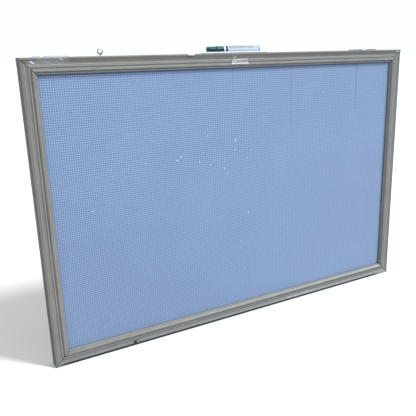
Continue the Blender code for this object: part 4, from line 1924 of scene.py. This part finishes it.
@dataclass
class FilmRemnants:
    """Clear tape and what is left of the wrapping film on the top rail.

    Left depth and tape depth are how far back these two reach over the top face. The curl is the front edge
    of the film under the marker, as reaches and as depths from where that film starts.
    """

    board: Board
    moulding: Moulding
    lift: float = 0.0003
    thickness: float = 0.00008
    crinkle_size: float = 0.009
    crinkle_sharpness: float = 3.0
    seed_step: float = 1.7
    border_fade: float = 0.005
    edge_gap: float = 0.0006
    left_depth: float = 0.0157
    tape_depth: float = 0.0057
    tape_steps: int = 6
    curl: tuple[Corner, ...] = ((-0.0034, -0.0004), (-0.0016, -0.0006), (0, 0.0006))

    def build(self) -> None:
        """Builds the strips that stand for the four nodes, and two scraps."""
        for film in (self.left(), self.under_marker(), self.right(), self.tape(), *self.scraps()):
            self.strip(film)

    def left(self) -> Film:
        """The crinkled film at the left corner, which reaches from the cove over the outer edge.

        Returns:
            The film.
        """
        return Film(
            "crinkled_film",
            self.span("left_film"),
            self.moulding.edge_and_cove()[::-1] + [(0, self.left_depth)],
            ClearFilm(0.11, 0.08),
            "left_film",
            # The two strongest folds carry painted glints; the others are faint folds and pale film above the
            # top edge.
            (
                Fold((0.0205, 0.0067), (0.0257, 0.0103), 0.0014, 0.0006, 0.95),
                Fold((0.0160, 0.0060), (0.0215, 0.0100), 0.0015, 0.0004, 0.25),
                Fold((0.0690, 0.0024), (0.0750, 0.0036), 0.0015, 0.0006, 0.7),
                Fold((0.0600, 0.0060), (0.0700, 0.0110), 0.0016, 0.0004, 0.2),
                Fold((0.0430, 0.0040), (0.0560, 0.0120), 0.0016, 0.0004, 0.15),
                Fold((0.0258, -0.0025), (0.0360, -0.0030), 0.0050, 0.0022, 0.45),
                Fold((0.0460, -0.0025), (0.0640, -0.0030), 0.0050, 0.0019, 0.5),
                Fold((0.0640, -0.0030), (0.0890, -0.0030), 0.0050, 0.0017, 0.45),
            ),
            seed=3.0,
            cell=0.0007,
        )

    def under_marker(self) -> Film:
        """The film under the marker, with a painted glint along its curled front, and pale where it stands up
        behind.

        Returns:
            The film.
        """
        start, end = self.span("marker_film")
        return Film(
            "film_under_marker",
            (start, end),
            self.curled_path(),
            ClearFilm(0.2, 0.2, 0.0, tint=(0.34, 0.42, 0.52), bright=(0.76, 0.83, 0.90)),
            "marker_film",
            (
                Fold((start + 0.004, -0.0066), (end - 0.004, -0.0066), 0.0032, 0.0, 1.5),
                Fold((0.3600, -0.0245), (0.3760, -0.0245), 0.0070, 0.0, 0.6),
                Fold((0.3760, -0.0245), (0.5140, -0.0245), 0.0070, 0.0, 0.4),
            ),
            crinkle=0.0001,
            seed=5.0,
            rise=((0.358, 0.0), (0.3702, 0.6), (0.380, 0.9), (0.490, 1.3), (0.5006, 1.3), (0.516, 0.0)),
        )

    def right(self) -> Film:
        """The strip on the right half of the top edge, whose front edge stands up in two places.

        Returns:
            The film.
        """
        start, end = self.span("right_film")
        return Film(
            "film_edge",
            (start, end),
            self.edge_path(),
            ClearFilm(0.3, 0.2, 10.0),
            "right_film",
            (
                Fold((start + 0.004, -0.0030), (start + 0.044, -0.0030), 0.0050, 0.0022, 0.45),
                Fold((start + 0.057, -0.0030), (start + 0.087, -0.0030), 0.0050, 0.0020, 0.45),
            ),
            seed=7.0,
        )

    def tape(self) -> Film:
        """The tape on the front of the rail, with its lifted left corner and its pale folded edges, which
        carry painted glints.

        Returns:
            The tape.
        """
        return Film(
            "tape",
            self.span("marker_tape"),
            self.tape_path() + [(0, self.tape_depth)],
            ClearFilm(0.04, 0.0, 20.0, relief=0.0001, tint=(0.34, 0.355, 0.375), bright=(0.52, 0.55, 0.58)),
            "marker_tape",
            (
                Fold((0.4225, 0.0062), (0.4342, 0.0054), 0.0016, 0.0002, 0.2),
                Fold((0.4335, 0.0054), (0.4228, 0.0180), 0.0018, 0.0002, 0.5),
                Fold((0.4333, 0.0140), (0.4228, 0.0212), 0.0018, 0.0002, 0.85),
                Fold((0.4333, 0.0140), (0.4603, 0.0128), 0.0016, 0.0002, 0.7),
                Fold((0.4603, 0.0128), (0.4622, 0.0216), 0.0014, 0.0002, 0.45),
                Fold((0.4222, 0.0214), (0.4625, 0.0210), 0.0018, 0.0002, 1.0),
                Fold((0.4320, 0.0176), (0.4600, 0.0172), 0.0040, 0.0, 0.3),
            ),
            crinkle=0.0,
            ragged=0.0004,
            seed=9.0,
            cell=0.0005,
        )

    def scraps(self) -> tuple[Film, Film]:
        """Two torn scraps on the outer edge: a pale one by the marker, and one with a painted glint by the
        right mitre.

        Returns:
            The scraps.
        """
        cove = self.moulding.edge_and_cove()
        by_marker = Film(
            "film_scrap",
            (0.3208, 0.3368),
            cove[9:2:-1],
            ClearFilm(0.2),
            folds=(Fold((0.3215, 0.0), (0.3360, 0.0012), 0.0030, 0.0006, 0.8),),
            seed=11.0,
        )
        by_mitre = Film(
            "mitre_scrap",
            (0.8995, 0.9105),
            cove[16:7:-1],
            ClearFilm(0.1),
            folds=(Fold((0.9012, 0.0054), (0.9100, 0.0022), 0.0016, 0.0005, 1.1),),
            seed=13.0,
        )
        return by_marker, by_mitre

    def span(self, node: str) -> Corner:
        """Where a node starts and ends, from the board's left edge."""
        low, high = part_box(node)
        return low.x + self.board.half_width, high.x + self.board.half_width

    def tape_path(self) -> list[Corner]:
        """From the bead's crown over its flank, straight to the cove's end, then up the cove.

        Returns:
            Reach and depth of each point.
        """
        moulding = self.moulding
        crown = Vector((moulding.bead_crown, moulding.bead_radius))
        cove = moulding.edge_and_cove()[::-1]
        reach = crown - Vector(cove[0])
        bearing = 180 + math.degrees(math.atan2(reach.y, reach.x))
        leave = bearing + math.degrees(math.acos(moulding.bead_radius / reach.length))
        return arc(tuple(crown), moulding.bead_radius, 270, leave, self.tape_steps) + cove

    def curled_path(self) -> list[Corner]:
        """Flat under the marker, with its front edge curled up and its back edge standing behind it.

        Returns:
            Reach and depth of each point.
        """
        low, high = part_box("marker_film")
        front, rear = low.y - self.board.front, high.y - self.board.front - self.edge_gap
        curl = [(reach, front + depth) for reach, depth in self.curl]
        return curl + [(0, rear), (low.z - high.z, rear)]

    def edge_path(self) -> list[Corner]:
        """Flat on the top face, with its front edge standing up.

        Returns:
            Reach and depth of each point.
        """
        low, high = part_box("right_film")
        front, rear = low.y - self.board.front + self.edge_gap, high.y - self.board.front
        return [(low.z - high.z + self.edge_gap, front), (0, front), (0, rear)]

    def strip(self, film: Film) -> None:
        """Makes a strip that follows its path over the rail, with ragged ends, crinkles and folds.

        Each corner keeps two numbers for the finish: fold, how strongly it shows as a fold and carries a
        painted glint, and body, how far in from the strip's border it lies.

        Args:
            film: the strip.
        """
        length = film.span[1] - film.span[0]
        places = spaced(film.path, film.cell)
        rows, columns = len(places) - 1, max(2, round(length / film.cell))
        bpy.ops.object.select_all(action="DESELECT")
        bpy.ops.mesh.primitive_grid_add(x_subdivisions=columns, y_subdivisions=rows, size=1)
        strip = bpy.context.object
        strip.name = film.name
        shift = Vector((film.seed, film.seed, 0)) * self.seed_step
        marks = []
        bodies = []
        for vertex in strip.data.vertices:
            share = vertex.co.x + 0.5
            row = round((vertex.co.y + 0.5) * rows)
            (reach, depth), (out_reach, out_depth) = places[row]
            along = film.span[0] + share * length
            spot = Vector((along, row * film.cell, 0))
            if reach < 0 and row > rows / 2 and film.rise:
                reach *= between(film.rise, along)
            run = reach - max(0.0, depth - self.moulding.crest_depth - self.moulding.outer_round)
            shares = [(fold, fold.share((along, run))) for fold in film.folds]
            lump = noise.noise(spot / self.crinkle_size + shift)
            ridge = max(0.0, 1 - abs(lump) * self.crinkle_sharpness)
            stand = self.lift + ridge * film.crinkle + max([fold.height * s for fold, s in shares], default=0)
            marks.append(min(1.0, max([fold.gloss * s for fold, s in shares], default=0)))
            border = min(share * length, (1 - share) * length, row * film.cell, (rows - row) * film.cell)
            bodies.append(min(1.0, max(0.0, border - film.cell) / self.border_fade))
            if share < 0.5 / columns or share > 1 - 0.5 / columns:
                bite = (noise.noise(spot / self.crinkle_size + shift * 2) + 1) * film.ragged
                along += bite if share < 0.5 else -bite
            vertex.co = (
                along - self.board.half_width,
                self.board.front + depth + out_depth * stand,
                self.board.height - reach - out_reach * stand,
            )
        strip.data.attributes.new("fold", "FLOAT", "POINT").data.foreach_set("value", marks)
        strip.data.attributes.new("body", "FLOAT", "POINT").data.foreach_set("value", bodies)
        with editing(strip):
            bpy.ops.mesh.normals_make_consistent(inside=False)
        modify(strip, "SOLIDIFY", thickness=self.thickness, offset=0)
        dress(strip, film.finish.make(f"{film.name}_clear"), smooth=60)
        hand_over(strip, "board", "clear_film", *([film.node] if film.node else []))
        if film.node:
            across = sum(math.dist(a, b) for a, b in zip(film.path, film.path[1:]))


def between(steps: Sequence[Corner], place: float) -> float:
    """The value at a place, read from steps of place and value that rise in place.

    Args:
        steps: places and values, with the places in rising order.
        place: the place.

    Returns:
        The value there.
    """
    value = steps[0][1]
    for (start, low), (end, high) in zip(steps, steps[1:]):
        if place > start:
            value = low + (high - low) * min(1.0, (place - start) / (end - start))
    return value


def spaced(path: Sequence[Corner], step: float) -> list[tuple[Corner, Corner]]:
    """Even points along a path, each with the unit vector to its left.

    Args:
        path: the path's corners.
        step: about how far apart the points are.

    Returns:
        Each point with its vector.
    """
    points = [Vector(corner) for corner in path]
    lengths = [(b - a).length for a, b in zip(points, points[1:])]
    count = max(2, round(sum(lengths) / step))
    found = []
    for index in range(count + 1):
        rest = sum(lengths) * index / count
        leg = 0
        while leg < len(lengths) - 1 and rest > lengths[leg]:
            rest -= lengths[leg]
            leg += 1
        way = (points[leg + 1] - points[leg]).normalized()
        found.append((tuple(points[leg] + way * rest), (-way.y, way.x)))
    return found


# Studio


@dataclass
class Studio:
    """The floor, the lights and the camera at the photograph's angle."""

    eye: tuple[float, float, float] = (-0.6011, -1.0238, 0.6203)
    azimuth: float = 29.711
    pitch: float = -15.63
    roll: float = 0.971
    lens: float = 46.068
    principal_x: float = 238.4
    principal_y: float = 197.0
    key_way: tuple[float, float, float] = (1.0, -1.0, 1.37)
    key_width: float = 12.0
    key_strength: float = 4.69
    floor_size: float = 60.0
    sky: Colour = (0.985, 0.995, 1.0)

    def build(self) -> None:
        """Builds the studio."""
        self.add_camera()
        self.add_floor()
        self.add_key_light()
        self.add_sky()
        bpy.context.scene.view_settings.view_transform = "Standard"

    def add_camera(self) -> None:
        """A camera at the measured place, turned by azimuth, pitch and roll."""
        data = bpy.data.cameras.new("photo_camera")
        data.sensor_width = SENSOR_WIDTH
        data.lens = self.lens
        data.shift_x = 0.5 - self.principal_x / PHOTO_SIDE
        data.shift_y = self.principal_y / PHOTO_SIDE - 0.5
        camera = bpy.data.objects.new("photo_camera", data)
        bpy.context.scene.collection.objects.link(camera)
        turn = (
            Matrix.Rotation(math.radians(-self.azimuth), 4, "Z")
            @ Matrix.Rotation(math.radians(90 + self.pitch), 4, "X")
            @ Matrix.Rotation(math.radians(-self.roll), 4, "Z")
        )
        camera.matrix_world = Matrix.Translation(self.eye) @ turn
        bpy.context.scene.camera = camera

    def add_floor(self) -> None:
        """A wide pale floor."""
        bpy.ops.object.select_all(action="DESELECT")
        bpy.ops.mesh.primitive_plane_add(size=self.floor_size)
        floor = bpy.context.object
        floor.name = "floor"
        dress(floor, PaleFloor().make("pale_floor"), smooth=None)

    def add_key_light(self) -> None:
        """A soft, even light from the upper right in front."""
        data = bpy.data.lights.new("key_light", "SUN")
        data.energy = self.key_strength
        data.angle = math.radians(self.key_width)
        light = bpy.data.objects.new("key_light", data)
        bpy.context.scene.collection.objects.link(light)
        light.matrix_world = Vector(self.key_way).to_track_quat("Z", "Y").to_matrix().to_4x4()

    def add_sky(self) -> None:
        """An even, nearly white surround."""
        world = bpy.data.worlds.new("soft_sky")
        bpy.context.scene.world = world
        world.use_nodes = True
        backdrop = world.node_tree.nodes["Background"]
        backdrop.inputs["Color"].default_value = (*self.sky, 1.0)
        backdrop.inputs["Strength"].default_value = 1.0


def main() -> None:
    """Builds the studio and each sub-assembly."""
    logging.basicConfig(level=logging.INFO, format="%(message)s")
    board = Board.from_frame()
    moulding = Moulding()
    Studio().build()
    MouldedFrame(board, moulding).build()
    FeltPanel(board).build()
    HangingEye(board).build()
    Marker().build()
    FilmRemnants(board, moulding).build()


if __name__ == "__main__":
    main()
